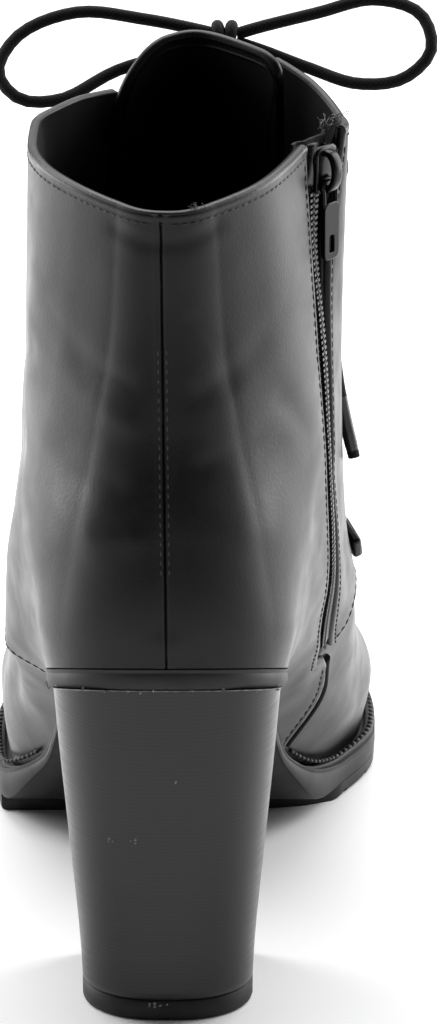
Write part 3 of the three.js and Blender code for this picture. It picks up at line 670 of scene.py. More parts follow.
for name, points in routes.items():
    path = spline(points, 40)
    piece = tube("lace_" + name, path, lace_radius, 16, lace_braid)
    cords[name] = (piece, path)
    belongs(piece, [name])
    print(name, round(line_length(path), 1), "mm")

# %% [markdown]
# The knot is a short wrap of the same braid, with the loops and ends going into it. Each end is
# cased in a hard tip about 14 mm long, so that it can be pushed through a ring.

# %% Knot and tips
turn = np.linspace(0, 2 * math.pi, 28, endpoint=False)
wrap_deep, wrap_high = 2.5, 2.7
for number, (middle, lean) in enumerate(((5.5, -0.22), (7.9, 0.20))):
    wrap_path = []
    for a in turn:
        rise = wrap_high * math.sin(a)
        wrap_path.append(bow(middle + lean * rise, 10.3 + wrap_deep * math.cos(a), 3.7 + rise))
    wrap = tube("lace_knot_wrap_%d" % number, wrap_path, lace_radius, 16, lace_braid, closed=True)
    belongs(wrap, ["lace_knot"] if number == 0 else [])

tip_length = 14.0
for name in ("medial_end", "lateral_end"):
    path = cords[name][1]
    run = np.linalg.norm(np.diff(path, axis=0), axis=1)[::-1].cumsum()
    keep = int(np.searchsorted(run, tip_length)) + 2
    tip_path = path[-keep:]
    casing = np.full(keep, lace_radius + 0.14)
    casing[-1] = lace_radius - 0.2
    belongs(tube("tip_" + name, tip_path, casing, 16, ring_tip))
    print("tip of", name, round(line_length(tip_path), 1), "mm")

for name, (piece, path) in cords.items():
    metres = to_frame(path)

# %% [markdown]
# ## Cutting leather from the form
# A panel is a part of the form inside its seam line. The form is divided in fine cells, the cells
# are split exactly where the seam runs, and again just inside it, so that the edge can be rolled
# down and a row of stitches can sit in its own shallow groove. Outer and inner side share the
# cells, which makes each panel a closed piece with a real thickness.

# %% Cells of the form
class Cells:
    """Cells of the form in its own loop and level, with measured fields at their corners."""

    def __init__(self, around, upward_count):
        loops = np.arange(around) / around
        rows = np.linspace(0, 1, upward_count + 1)
        level, loop = np.meshgrid(rows, loops, indexing="ij")
        self.loop, self.level = loop.ravel(), level.ravel()
        j, i = np.meshgrid(np.arange(upward_count), np.arange(around), indexing="ij")
        a = (j * around + i).ravel()
        b = (j * around + (i + 1) % around).ravel()
        self.quads = np.stack([a, a + around, b + around, b], -1)
        self.cut = []
        self.fields = {}

    def measure(self, name, values):
        self.fields[name] = np.array(values, float)

    def split(self, name, value):
        """Splits every cell along the line where a field has this value."""
        field = self.fields[name]
        field[np.abs(field - value) < 0.03] = value
        sides = field[self.quads] - value
        crossed = (sides.min(1) < 0) & (sides.max(1) > 0)
        waiting = self.cut + self.quads[crossed].tolist()
        self.quads = self.quads[~crossed]
        self.cut = []
        made, born = {}, []
        count = len(self.loop)
        for face in waiting:
            side = [field[k] - value for k in face]
            if min(side) >= 0 or max(side) <= 0:
                self.cut.append(face)
                continue
            below, above = [], []
            for k, here in enumerate(face):
                there, a, b = face[k - len(face) + 1], side[k], side[k - len(face) + 1]
                if a <= 0:
                    below.append(here)
                if a >= 0:
                    above.append(here)
                if a * b < 0:
                    key = (min(here, there), max(here, there))
                    if key not in made:
                        made[key] = count + len(born)
                        born.append((here, there, a / (a - b)))
                    below.append(made[key])
                    above.append(made[key])
            self.cut += [part for part in (below, above) if len(part) > 2]
        if not born:
            return
        start = np.array([b[0] for b in born])
        stop = np.array([b[1] for b in born])
        share = np.array([b[2] for b in born])
        turn = np.mod(self.loop[stop] - self.loop[start] + 0.5, 1) - 0.5
        self.loop = np.r_[self.loop, np.mod(self.loop[start] + share * turn, 1)]
        self.level = np.r_[self.level, mix(self.level[start], self.level[stop], share)]
        for other, values in self.fields.items():
            new = mix(values[start], values[stop], share)
            self.fields[other] = np.r_[values, np.full(len(new), value) if other == name else new]

    def keep_inside(self, name):
        """Keeps the cells where the field is below zero and drops unused corners."""
        field = self.fields[name]
        self.quads = self.quads[field[self.quads].mean(1) < 0]
        faces = self.quads.tolist() + [f for f in self.cut if np.mean(field[f]) < 0]
        used = np.unique(np.concatenate([np.array(f) for f in faces]))
        place = np.full(len(self.loop), -1)
        place[used] = np.arange(len(used))
        self.loop, self.level = self.loop[used], self.level[used]
        self.fields = {key: values[used] for key, values in self.fields.items()}
        self.faces = [[int(place[k]) for k in face] for face in faces]


# %% Distances in the side view
def polygon_distance(y, z, corners):
    """Distance to a closed outline in the side view, below zero inside it."""
    corners = np.asarray(corners, float)
    best = np.full(y.shape, 1e9)
    inside = np.zeros(y.shape, bool)
    for (ay, az), (by, bz) in zip(corners, np.roll(corners, -1, 0)):
        dy, dz = by - ay, bz - az
        share = np.clip(((y - ay) * dy + (z - az) * dz) / (dy * dy + dz * dz + 1e-12), 0, 1)
        best = np.minimum(best, np.hypot(y - ay - share * dy, z - az - share * dz))
        crossing = (az > z) != (bz > z)
        inside ^= crossing & (y < (by - ay) * (z - az) / (bz - az + 1e-12) + ay)
    return np.where(inside, -best, best)


def shares(points):
    return [(y * length, z * collar_front) for y, z in points]


def rounded(points, count=60):
    flat = np.c_[np.zeros(len(points)), np.asarray(points, float)]
    return [tuple(p[1:]) for p in spline(flat, count)]


# %% [markdown]
# ## Seam lines
# The back quarter ends in a seam that leaves the heel seat, runs forward and turns up to the
# collar. On the inner side the zip takes its place. The throat is a wedge seen from the front.

# %% Seam lines in the side view
over_top = 1.2
seam_rise = shares([
    (0.207, 0.300), (0.269, 0.310), (0.322, 0.326), (0.364, 0.370), (0.397, 0.447),
    (0.413, 0.553), (0.405, 0.721), (0.380, 0.986), (0.376, over_top),
])
zip_height = np.array([0.288, 0.317, 0.385, 0.471, 0.577, 0.721, 0.865, over_top]) * collar_front
zip_rear = np.array([0.376, 0.349, 0.303, 0.265, 0.236, 0.221, 0.213, 0.207]) * length
zip_teeth = np.array([0.392, 0.366, 0.321, 0.282, 0.256, 0.245, 0.242, 0.240]) * length
zip_front = np.array([0.409, 0.384, 0.340, 0.299, 0.273, 0.263, 0.261, 0.261]) * length
heights = np.linspace(zip_height[0], zip_height[-1], 60)
rear_line = list(zip(smooth_curve(zip_height, zip_rear, heights), heights))
teeth_line = list(zip(smooth_curve(zip_height, zip_teeth, heights), heights))
front_line = list(zip(smooth_curve(zip_height, zip_front, heights), heights))
zip_slot = rear_line + front_line[::-1]

behind = -0.06
smooth_rise = rounded(seam_rise)
outer_quarter = shares([(behind, 0.25), (0.207, 0.25)]) + smooth_rise + shares([(behind, over_top)])
inner_seam = rounded(shares([(0.492, 0.067), (0.475, 0.135), (0.450, 0.212), (0.417, 0.269)]), 20)
inner_quarter = shares([(behind, 0.067)]) + inner_seam + teeth_line + shares([(behind, over_top)])

seam_gap = 0.35
facing_low = shares([(0.455, 0.423), (0.520, 0.418), (0.603, 0.447), (0.826, 0.529), (0.826, over_top)])
rise_back = [(y + seam_gap, z) for y, z in rounded(seam_rise[4:], 40)][::-1]
outer_facing = rise_back + facing_low
inner_facing = shares([(0.260, over_top), (0.264, 0.721), (0.281, 0.529), (0.331, 0.394), (0.401, 0.290)])
inner_facing += rounded(shares([
    (0.401, 0.290), (0.430, 0.308), (0.479, 0.370), (0.545, 0.423), (0.620, 0.457), (0.826, 0.529),
]), 40)[1:]
inner_facing += shares([(0.826, over_top)])

throat = [
    (x * half_ball, z * collar_front) for x, z in [
        (0.11, 0.462), (0.24, 0.462), (0.36, 0.51), (0.45, 0.72), (0.53, 0.91), (0.56, over_top),
        (-0.28, over_top), (-0.27, 0.91), (-0.21, 0.72), (-0.06, 0.51), (0, 0.466),
    ]
]
throat_start = 0.35 * length
print("seam lines:", len(outer_quarter), "and", len(inner_quarter), "points")

# %% [markdown]
# ## Soft shape
# Worn or lasted leather is never even. Soft troughs and ridges are listed here one by one, as the
# photograph shows them: a hollow along the back seam, slack waves over the ankle, a pulled dent
# under the collar, a pucker where the zip ends and the first bending folds across the vamp.
# Each is a line in one view, with a width and a height in millimetres.

# %% Troughs and ridges
soft_lines = [
    ("back", -0.75, 4.2, [(-1.0, 199), (-0.8, 160), (-0.3, 125), (0, 104)]),
    ("back", 0.30, 5.0, [(-13, 186), (-15, 150), (-17, 120)]),
    ("back", 0.35, 5.5, [(15, 186), (17, 152), (20, 122)]),
    ("back", -0.40, 2.4, [(-11, 197.5), (-4, 195.8), (4, 196), (11, 198)]),
    ("back", -0.30, 3.2, [(-29, 171), (-18, 162), (-9, 160)]),
    ("back", 0.22, 3.0, [(-30, 163), (-19, 154), (-9, 151)]),
    ("back", -0.26, 3.4, [(8, 158), (19, 163), (31, 174)]),
    ("back", -0.24, 2.8, [(9, 141), (20, 143), (33, 153)]),
    ("back", -0.30, 3.6, [(-34, 140), (-22, 134), (-12, 135)]),
    ("back", 0.20, 3.5, [(-30, 128), (-16, 122), (-8, 124)]),
    ("back", -0.18, 2.0, [(6, 176), (12, 168), (14, 158)]),
    ("inner", -0.30, 2.4, [(86, 66), (92, 58), (101, 52)]),
    ("inner", 0.22, 2.6, [(80, 68), (86, 60), (94, 51)]),
    ("inner", -0.35, 4.0, [(70, 118), (80, 100), (94, 84)]),
    ("inner", 0.30, 4.5, [(40, 112), (52, 98), (66, 86)]),
    ("inner", -0.30, 4.0, [(30, 150), (38, 140), (47, 134)]),
    ("outer", -0.40, 4.0, [(52, 132), (70, 122), (92, 120)]),
    ("outer", 0.30, 4.0, [(54, 121), (72, 110), (92, 108)]),
    ("outer", -0.35, 3.5, [(44, 158), (62, 150), (86, 152)]),
    ("outer", -0.18, 3.6, [(108, 62), (116, 50), (122, 38)]),
    ("top", -0.55, 3.0, [(-30, 126), (-8, 138), (16, 141), (38, 132)]),
    ("top", 0.35, 3.5, [(-30, 134), (-6, 147), (18, 150), (40, 141)]),
    ("top", -0.40, 2.8, [(-28, 145), (-4, 157), (20, 159), (38, 152)]),
    ("top", -0.30, 2.5, [(-20, 118), (-2, 126), (14, 128)]),
]


def line_distance(a, b, path):
    best = np.full(a.shape, 1e9)
    for (a0, b0), (a1, b1) in zip(path, path[1:]):
        da, db = a1 - a0, b1 - b0
        share = np.clip(((a - a0) * da + (b - b0) * db) / (da * da + db * db), 0, 1)
        best = np.minimum(best, np.hypot(a - a0 - share * da, b - b0 - share * db))
    return best


def soft_relief(loop, level):
    """Height of the listed waves over the form, in millimetres."""
    place = form(loop, level)
    out = outward(loop, level)
    x, y, z = place[..., 0], place[..., 1], place[..., 2]
    views = {
        "back": (x, z, np.clip(-1.6 * out[..., 1] - 0.1, 0, 1)),
        "inner": (y, z, np.clip(1.8 * out[..., 0] - 0.2, 0, 1)),
        "outer": (y, z, np.clip(-1.8 * out[..., 0] - 0.2, 0, 1)),
        "top": (x, y, np.clip(1.8 * out[..., 2] - 0.3, 0, 1) * (y > 100)),
    }
    total = np.zeros(x.shape)
    for view, height, width, path in soft_lines:
        a, b, weight = views[view]
        total += height * weight * np.exp(-(line_distance(a, b, path) / width) ** 2)
    return total * np.clip(np.asarray(level) / 0.07, 0, 1)


lift_loops = [0, 0.30, 0.35, 0.40, 0.44, 0.56, 0.60, 0.65, 0.70, 0.74, 1]
lift_heights = [0, 0, -0.9, -2.8, -3.2, 7.0, 6.3, 3.6, -0.5, 0, 0]


def on_form(loop, level, out):
    """Points over the form at an offset, with the soft waves and the uneven collar in them."""
    points = form(loop, level) + outward(loop, level) * (out + soft_relief(loop, level))[..., None]
    near_top = np.clip((np.asarray(level) - 0.86) / 0.14, 0, 1) ** 2
    points[..., 2] += np.interp(np.mod(loop, 1), lift_loops, lift_heights) * near_top
    return points


def rolled(distance, radius, drop):
    near = np.clip(1 - distance / radius, 0, 1)
    return drop * (1 - np.sqrt(np.clip(1 - near ** 2, 0, 1)))


def groove(distance, middle, width, depth):
    return -depth * np.exp(-((distance - middle) / width) ** 2)


# %% Panels
around_count, upward_count = 300, 150
far_off = 30.0


def panel_cells(region):
    """Cells with the outline of one panel: region gives its signed distance in millimetres."""
    cells = Cells(around_count, upward_count)
    place = form(cells.loop, cells.level)
    cells.measure("edge", region(cells.loop, cells.level, place))
    return cells


def throat_distance(place):
    distance = polygon_distance(place[:, 0], place[:, 2], throat)
    return np.where(place[:, 1] < throat_start, far_off, distance)


def slot_distance(loop, place):
    distance = polygon_distance(place[:, 1], place[:, 2], zip_slot)
    return np.where(loop < 0.5, far_off, distance)


def make_panel(name, cells, outer, inner):
    """Closes the leather outside and the lining inside of a set of cells into one piece."""
    count = len(cells.loop)
    points = np.concatenate([on_form(cells.loop, cells.level, out) for out in (outer, inner)])
    edges = set()
    for face in cells.faces:
        edges.update(zip(face, face[1:] + face[:1]))
    border = [(a, b) for a, b in edges if (b, a) not in edges]
    faces = cells.faces + [[k + count for k in reversed(face)] for face in cells.faces]
    faces += [(b, a, a + count, b + count) for a, b in border]
    index = np.repeat([0, 1, 1], [len(cells.faces), len(cells.faces), len(border)])
    return make_piece(name, to_frame(points), faces, [black_leather, lining_cloth], index)


seam_steps = (-2.6, -1.8, -1.2, -0.75, -0.38, 0, 0.38, 0.75, 1.2, 1.8, 2.6)
row_inset = 2.1
edge_steps = (0, -0.12, -0.4, -0.9, -1.6, -row_inset, -2.6)


def skin_panel(name, region, node, seam=None):
    """An overlay: skin on the upper with a rolled edge and a groove for its stitches."""
    cells = panel_cells(region)
    if seam is not None:
        cells.measure("seam", seam(form(cells.loop, cells.level)))
        for value in seam_steps:
            cells.split("seam", value)
    for value in edge_steps:
        cells.split("edge", value)
    cells.keep_inside("edge")
    inward = -cells.fields["edge"]
    outer = skin_outer - rolled(inward, 0.9, 1.5) + groove(inward, row_inset, 0.35, 0.16)
    if seam is not None:
        across = cells.fields["seam"]
        outer = outer + groove(across, 0, 0.30, 0.50) - groove(np.abs(across), 1.2, 0.7, 0.24)
    inner = np.full(len(outer), wall_outer - 0.05)
    piece = make_panel(name, cells, outer, inner)
    belongs(piece, [node])
    print(name, len(piece.data.polygons), "faces")


# %% [markdown]
# ## Upper
# The upper is one hollow piece of leather over a cloth lining, open at the collar and the throat.
# It shows on the vamp outside, and its lining shows inside the collar.

# %% Upper and its overlays
def upper_region(loop, level, place):
    return np.maximum(-throat_distance(place), -slot_distance(loop, place))


upper_cells = panel_cells(upper_region)
for value in (0, -0.3, -0.8):
    upper_cells.split("edge", value)
upper_cells.keep_inside("edge")
inward = -upper_cells.fields["edge"]
thinned = np.clip((upper_cells.level - 0.95) / 0.05, 0, 1) ** 2
upper = make_panel(
    "upper_leather",
    upper_cells,
    wall_outer - rolled(inward, 0.7, 0.6),
    wall_inner + rolled(inward, 0.7, 0.6) + 1.3 * thinned,
)
belongs(upper, ["upper"])
print("upper", len(upper.data.polygons), "faces")


def quarter_region(loop, level, place):
    outer = polygon_distance(place[:, 1], place[:, 2], outer_quarter)
    inner = polygon_distance(place[:, 1], place[:, 2], inner_quarter)
    inner = np.maximum(inner, -slot_distance(loop, place))
    return np.where(loop < 0.5, outer, inner)


def seam_lean(z):
    """The back seam leans a little to the outer side as it rises."""
    return -1.2 * (z - 93) / 110


def back_seam(place):
    return place[:, 0] - seam_lean(place[:, 2])


def outer_facing_region(loop, level, place):
    distance = polygon_distance(place[:, 1], place[:, 2], outer_facing)
    distance = np.where(place[:, 0] < 0.1 * half_ball, distance, far_off)
    return np.maximum(distance, -throat_distance(place))


def inner_facing_region(loop, level, place):
    distance = polygon_distance(place[:, 1], place[:, 2], inner_facing)
    distance = np.where(place[:, 0] > 0.19 * half_ball, distance, far_off)
    return np.maximum(np.maximum(distance, -throat_distance(place)), -slot_distance(loop, place))


skin_panel("back_quarter_leather", quarter_region, "back_quarter", back_seam)
skin_panel("outer_facing_leather", outer_facing_region, "lateral_facing")
skin_panel("inner_facing_leather", inner_facing_region, "medial_facing")

# %% [markdown]
# ## Folded top edge
# The collar's leather is turned over its edge and stitched down, so that a smooth roll catches the
# light; the roll also takes the lighter leather, a painted highlight. It is a section swept round
# the collar, left out at the zip and at the throat.

# %% Topline
def sweep(name, rows, material, smooth_angle=45):
    """Joins sections, each a closed ring of the same count, into one closed piece."""
    rows = np.asarray(rows, float)
    count, around, _ = rows.shape
    faces = []
    for k in range(count - 1):
        for j in range(around):
            a, b = k * around + j, k * around + (j + 1) % around
            faces.append((a, b, b + around, a + around))
    faces.append(tuple(reversed(range(around))))
    faces.append(tuple(range((count - 1) * around, count * around)))
    points = to_frame(rows.reshape(-1, 3))
    return turn_out(make_piece(name, points, faces, [material], smooth_angle=smooth_angle))


collar_count = 1601
shortest_run = 20
collar_loops = np.linspace(0.5, 1.5, collar_count)
round_once = np.mod(collar_loops, 1)
collar_places = on_form(round_once, np.ones(collar_count), np.zeros(collar_count))
collar_free = throat_distance(collar_places) > 0.4
collar_free &= slot_distance(round_once, collar_places) > 0.3
fold_section = [
    (0.58, 1.9), (0.74, 1.1), (0.72, 0.4), (0.35, -0.15), (-0.3, -0.4), (-0.9, -0.35), (-1.4, 0.0),
    (-1.75, 0.5), (-1.85, 1.2), (-1.80, 3.0), (-1.55, 3.0), (-1.3, 0.8), (0.2, 0.7), (0.4, 1.9),
]
starts = np.flatnonzero(np.diff(np.r_[0, collar_free.astype(int)]) == 1)
stops = np.flatnonzero(np.diff(np.r_[collar_free.astype(int), 0]) == -1)
runs = [(n, a, b) for n, (a, b) in enumerate(zip(starts, stops)) if b - a >= shortest_run]
for number, start, stop in runs:
    loops = round_once[start:stop + 1:5]
    top = np.ones(len(loops))
    base = on_form(loops, top, np.zeros(len(loops)))
    out = outward(loops, top)
    rise = upward(loops, top)
    rows = np.stack([base + out * a - rise * b for a, b in fold_section], 1)
    # The roll takes the lighter leather, a painted highlight.
    piece = sweep("topline_fold_%d" % number, rows, rim_highlight_leather)
    belongs(piece)
    print("topline run of", len(loops), "sections")

# %% [markdown]
# ## Tongue
# The tongue is leather in front and cloth behind, with a folded rim of the lighter leather, a
# painted highlight that shows as a pale line round its top. Its outer shoulder slopes and its inner
# one is squarer.

# %% Tongue
tongue_across, tongue_up = 60, 72
rim_share = [0, 0.06, 0.14, 0.22, 0.30, 0.48, 0.66, 0.80, 0.88, 0.94, 0.975, 1]
rim_loop = [-0.120, -0.110, -0.097, -0.077, -0.056, -0.010, 0.044, 0.090, 0.114, 0.128, 0.130, 0.122]
rim_level = [0.975, 1.000, 1.035, 1.070, 1.087, 1.094, 1.091, 1.084, 1.077, 1.055, 1.020, 0.980]


def tongue_point(a, b, depth):
    """A place on the tongue: a across, b upward, depth in from the form."""
    low = (2 * np.asarray(a) - 1) * 0.10
    high = smooth_curve(rim_share, rim_loop, a)
    level = mix(0.45, smooth_curve(rim_share, rim_level, a), b)
    swell = 0.014 * (2 * np.asarray(a) - 1) * np.sin(np.pi * b)
    loop = 0.5 + mix(low, high, np.clip(b * 1.15, 0, 1)) + swell
    out = outward(loop, np.minimum(level, 1.0))
    return form(loop, level) + out * np.reshape(depth, (-1, 1))


grid_b, grid_a = [g.ravel() for g in np.meshgrid(
    np.linspace(0, 1, tongue_up + 1), np.linspace(0, 1, tongue_across + 1), indexing="ij")]
crown = 0.35 * np.sin(np.pi * grid_a)
front = tongue_point(grid_a, grid_b, -3.6 + crown)
rear = tongue_point(grid_a, grid_b, -5.9 + 0.4 * crown)
faces, index = [], []
columns = tongue_across + 1
offset = len(front)
for j in range(tongue_up):
    for i in range(tongue_across):
        a = j * columns + i
        faces.append((a, a + columns, a + columns + 1, a + 1))
        index.append(0)
        faces.append((a + offset, a + 1 + offset, a + columns + 1 + offset, a + columns + offset))
        index.append(1)
rim = list(range(columns))
rim += [j * columns + columns - 1 for j in range(1, tongue_up + 1)]
rim += [tongue_up * columns + i for i in range(columns - 2, -1, -1)]
rim += [j * columns for j in range(tongue_up - 1, 0, -1)]
for a, b in zip(rim, rim[1:] + rim[:1]):
    faces.append((a, b, b + offset, a + offset))
    index.append(0)
tongue = make_piece("tongue_leather", to_frame(np.concatenate([front, rear])), faces,
                    [black_leather, lining_cloth], index)
belongs(tongue, ["tongue"])

# %% Rim of the tongue
rim_up = np.r_[np.linspace(0.35, 1, 40), np.ones(60), np.linspace(1, 0.35, 40)]
rim_across = np.r_[np.zeros(40), np.linspace(0, 1, 62)[1:-1], np.ones(40)]
# Both rim tubes take the lighter leather, a painted highlight.
for name, across, up, depth, radius, sides in (
    ("tongue_rim", rim_across, rim_up, -4.75, 1.28, 12),
    ("tongue_rim_seam", 0.035 + 0.93 * rim_across, rim_up * 0.975, -5.95, 0.42, 8),
):
    path = tongue_point(across, up, np.full(len(up), depth))
    belongs(tube(name, spline(path[::3], 170), radius, sides, rim_highlight_leather))
    print(name, round(line_length(path), 1), "mm")

# %% [markdown]
# ## Bottom
# The sole is built from rings round the upper's own edge, each moved out and up by its own
# amount, as a sole is trimmed to the lasted upper. The rand runs round the heel seat, the shank
# rises under the arch, and the tread pad is a second piece with grooves cut across it.

# %% Rings of the bottom
bottom_count = 240
ledge_start, ledge_full = 0.446, 0.579
ledge_low, ledge_more = 0.5, 2.3


def smooth_step(share):
    """A share from 0 to 1 that starts and ends softly."""
    share = np.clip(share, 0, 1)
    return share * share * (3 - 2 * share)


def ledge(y):
    """How far the sole stands out past the upper's form."""
    return ledge_low + ledge_more * smooth_step((y / length - ledge_start) / (ledge_full - ledge_start))


def feather_edge(loops):
    """Points of the upper's lower edge, with their level directions outward."""
    side = outward(loops, np.full(len(loops), 0.02))
    side[:, 2] = 0
    return form(loops, np.zeros(len(loops))), unit(side)


def bottom_ring(out, height):
    ring, side = feather_edge(np.arange(bottom_count) / bottom_count)
    y = ring[:, 1].copy()
    ring = ring + side * np.broadcast_to(out(y), y.shape)[:, None]
    ring[:, 2] = height(y)
    return ring


def stack(name, rings, material, smooth_angle=38):
    """A closed solid from rings whose points pair up across its middle."""
    rings = np.asarray(rings)
    count = rings.shape[1]
    faces = []
    for k in range(len(rings) - 1):
        for i in range(count):
            a, b = k * count + i, k * count + (i + 1) % count
            faces.append((a, b, b + count, a + count))
    for base in (0, (len(rings) - 1) * count):
        faces.append((base, base + 1, base + count - 1))
        for i in range(1, count // 2 - 1):
            faces.append((base + i, base + i + 1, base + count - i - 1, base + count - i))
        faces.append((base + count // 2 - 1, base + count // 2, base + count // 2 + 1))
    points = to_frame(rings.reshape(-1, 3))
    return turn_out(make_piece(name, points, faces, [material], smooth_angle=smooth_angle))


def thickness(y):
    return feather(y) - underside(y)


groove_deep = 0.16
outsole = stack("outsole_rubber", [
    bottom_ring(lambda y: ledge(y) - 1.4, underside),
    bottom_ring(lambda y: ledge(y) - 0.45, lambda y: underside(y) + np.minimum(0.3, 0.1 * thickness(y))),
    bottom_ring(ledge, lambda y: underside(y) + np.minimum(1.2, 0.3 * thickness(y))),
    bottom_ring(ledge, lambda y: feather(y) - 1.5),
    bottom_ring(lambda y: ledge(y) - groove_deep, lambda y: feather(y) - 1.2),
    bottom_ring(lambda y: ledge(y) - groove_deep, lambda y: feather(y) - 0.95),
    bottom_ring(ledge, lambda y: feather(y) - 0.7),
    bottom_ring(ledge, lambda y: feather(y) - 0.2),
    bottom_ring(lambda y: ledge(y) - 0.3, feather),
], sole_rubber)
belongs(outsole, ["outsole"])
insole = stack("insole_cloth", [
    bottom_ring(lambda y: wall_inner - 0.5, lambda y: feather(y) + gap),
    bottom_ring(lambda y: wall_inner - 0.5, lambda y: feather(y) + gap + 2.2),
    bottom_ring(lambda y: wall_inner - 1.2, lambda y: feather(y) + gap + 2.7),
], lining_cloth)
belongs(insole, ["insole"])
print("outsole", len(outsole.data.polygons), "faces")

# %% Tread pad
pad = stack("tread_pad", [
    bottom_ring(lambda y: ledge(y) - 1.2, tread_height),
    bottom_ring(lambda y: ledge(y) - 0.5, lambda y: tread_height(y) + 0.35),
    bottom_ring(lambda y: ledge(y) - 0.2, lambda y: tread_height(y) + 1.0),
    bottom_ring(lambda y: ledge(y) - 0.2, lambda y: underside(y) + 0.6),
], sole_rubber)


def box_faces(start):
    return [tuple(start + k for k in face) for face in (
        (0, 1, 3, 2), (4, 6, 7, 5), (0, 4, 5, 1), (2, 3, 7, 6), (0, 2, 6, 4), (1, 5, 7, 3))]


def cutter(name, boxes):
    """One mesh of several boxes, each (low corner, high corner) in millimetres."""
    points, faces = [], []
    for sides in boxes:
        faces += box_faces(len(points))
        xs, ys, zs = zip(*sides)
        points += [(x, y, z) for x in xs for y in ys for z in zs]
    return turn_out(make_piece(name, to_frame(points), faces, [sole_rubber]))


def carve(piece, tool, operation="DIFFERENCE"):
    """Cuts a tool out of a piece and keeps the result as its mesh."""
    change = piece.modifiers.new("carve", "BOOLEAN")
    change.operation = operation
    change.solver = "EXACT"
    change.object = tool
    ready = piece.evaluated_get(bpy.context.evaluated_depsgraph_get())
    mesh = bpy.data.meshes.new_from_object(ready)
    piece.modifiers.remove(change)
    old = piece.data
    piece.data = mesh
    bpy.data.meshes.remove(old)
    bpy.data.objects.remove(tool)
    return piece


# %% Grooves of the tread
first_groove, groove_pitch, groove_count = 0.628, 0.05, 7
groove_wide, groove_high = 2.4, 1.2
groove_boxes = []
for i in range(groove_count):
    y = (first_groove + groove_pitch * i) * length
    groove_boxes.append(((-80, y, -5), (80, y + groove_wide, tread_height(y)[0] + groove_high)))
carve(pad, cutter("groove_tool", groove_boxes))
plan = np.array([
    (-1.3, 0.587), (0.3, 0.587), (0.55, 0.592), (0.72, 0.599), (0.86, 0.612), (0.95, 0.627),
    (1.15, 0.662), (1.4, 0.707), (1.4, 1.1), (-1.3, 1.1),
]) * [half_ball, length]
pad_tool = sweep("pad_tool", [[(x, y, z) for x, y in plan] for z in (-5.0, 60.0)], sole_rubber)
carve(pad, pad_tool, "INTERSECT")
pad.data.shade_smooth()
pad.data.set_sharp_from_angle(angle=math.radians(35))
belongs(pad)
print("tread pad", len(pad.data.polygons), "faces")

# %% [markdown]
# ## Welt
# A narrow welt lies on the ledge round the forefoot, and its stitches stand up like small ribs.

# %% Welt
edge_loops = np.linspace(0.02, 0.98, 700)
welt_loops = edge_loops[form(edge_loops, np.zeros(len(edge_loops)))[:, 1] > 0.5 * length]
welt_base, welt_side = feather_edge(welt_loops)
welt_y = welt_base[:, 1]
reach_out = ledge(welt_y)
flat_out = np.ones(len(welt_y))
section = [
    (reach_out - 0.15, 0.15), (reach_out - 0.12, 1.4), (reach_out - 0.3, 1.85), (reach_out - 0.7, 2.05),
    (0.9 * flat_out, 2.1), (0.35 * flat_out, 1.9), (0.3 * flat_out, 0.15),
]
rows = np.zeros((len(welt_loops), len(section), 3))
count_up = np.arange(len(welt_loops))
taper = np.clip(np.minimum(count_up, count_up[::-1]) / 60, 0.03, 1) ** 0.7
for k, (out, height) in enumerate(section):
    rows[:, k] = welt_base + welt_side * np.maximum(mix(0.3, out, taper), 0.3)[:, None]
    rows[:, k, 2] = feather(welt_y) + mix(-0.5, height, taper)
belongs(sweep("welt_strip", rows, sole_rubber), ["welt"])
print("welt of", len(welt_loops), "sections")

# %% [markdown]
# ## Heel
# The block tapers toward the floor, with a round back and a nearly flat breast, and the top lift
# under it is a separate rubber piece with a thin line between them.

# %% Heel block and top lift
heel_shares = [0.00, 0.12, 0.45, 0.80, 1.00]
heel_half = [0.430, 0.440, 0.488, 0.541, 0.568]
heel_back = [0.033, 0.030, 0.021, 0.013, 0.010]
heel_breast = [0.207, 0.207, 0.211, 0.213, 0.215]
lift_thick = 5.0
heel_corner = 2.0
breast_bow = 0.5


def heel_ring(share, inset, height):
    """One outline of the heel: share 0 is the floor's end and 1 the seat."""
    half = smooth_curve(heel_shares, heel_half, [share])[0] * half_ball - inset
    back = smooth_curve(heel_shares, heel_back, [share])[0] * length + inset
    breast = smooth_curve(heel_shares, heel_breast, [share])[0] * length - inset
    depth = half * 0.86
    angle = np.linspace(0, math.pi / 2, 33)[:-1]
    round_back = np.c_[half * np.sin(angle) ** 0.82, back + depth * (1 - np.cos(angle) ** 0.9)]
    sides = np.c_[np.full(7, half), np.linspace(back + depth, breast - heel_corner, 7)]
    turn = np.linspace(0, math.pi / 2, 6)[1:]
    middle = [half - heel_corner, breast - heel_corner]
    bend = middle + heel_corner * np.c_[np.cos(turn), np.sin(turn)]
    inner = np.linspace(1, 0, 12)[1:]
    flat = np.c_[(half - heel_corner) * inner, breast - breast_bow * (1 - inner)]
    quarter = np.concatenate([round_back, sides, bend, flat])
    left = [(-x, y) for x, y in quarter]
    right = [(x, y) for x, y in quarter[1:-1][::-1]]
    ring = np.array(left + right)
    return np.c_[ring, height(ring[:, 1])]


def block_height(share):
    return lambda y: mix(lift_thick + gap, underside(y) - 0.05, share)


block_rings = [heel_ring(0, 0.35, block_height(0))]
block_rings += [heel_ring(s, 0, block_height(s)) for s in np.linspace(0.006, 1, 50)]
heel_block = stack("heel_block_stacked", block_rings, stacked_heel, smooth_angle=50)
belongs(heel_block, ["heel_block"])
lift_steps = [
    (0, 0.7), (0.35, 0.2), (0.9, 0), (lift_thick - 0.25, 0), (lift_thick, 0.25),
    (lift_thick + gap + 0.02, 0.6),
]
lift_rings = [heel_ring(0, inset, lambda y, z=z: np.full(len(y), z)) for z, inset in lift_steps]
lift = stack("top_lift_rubber", lift_rings, lift_rubber, smooth_angle=50)
belongs(lift, ["top_lift"])
print("heel block", len(heel_block.data.polygons), "faces")

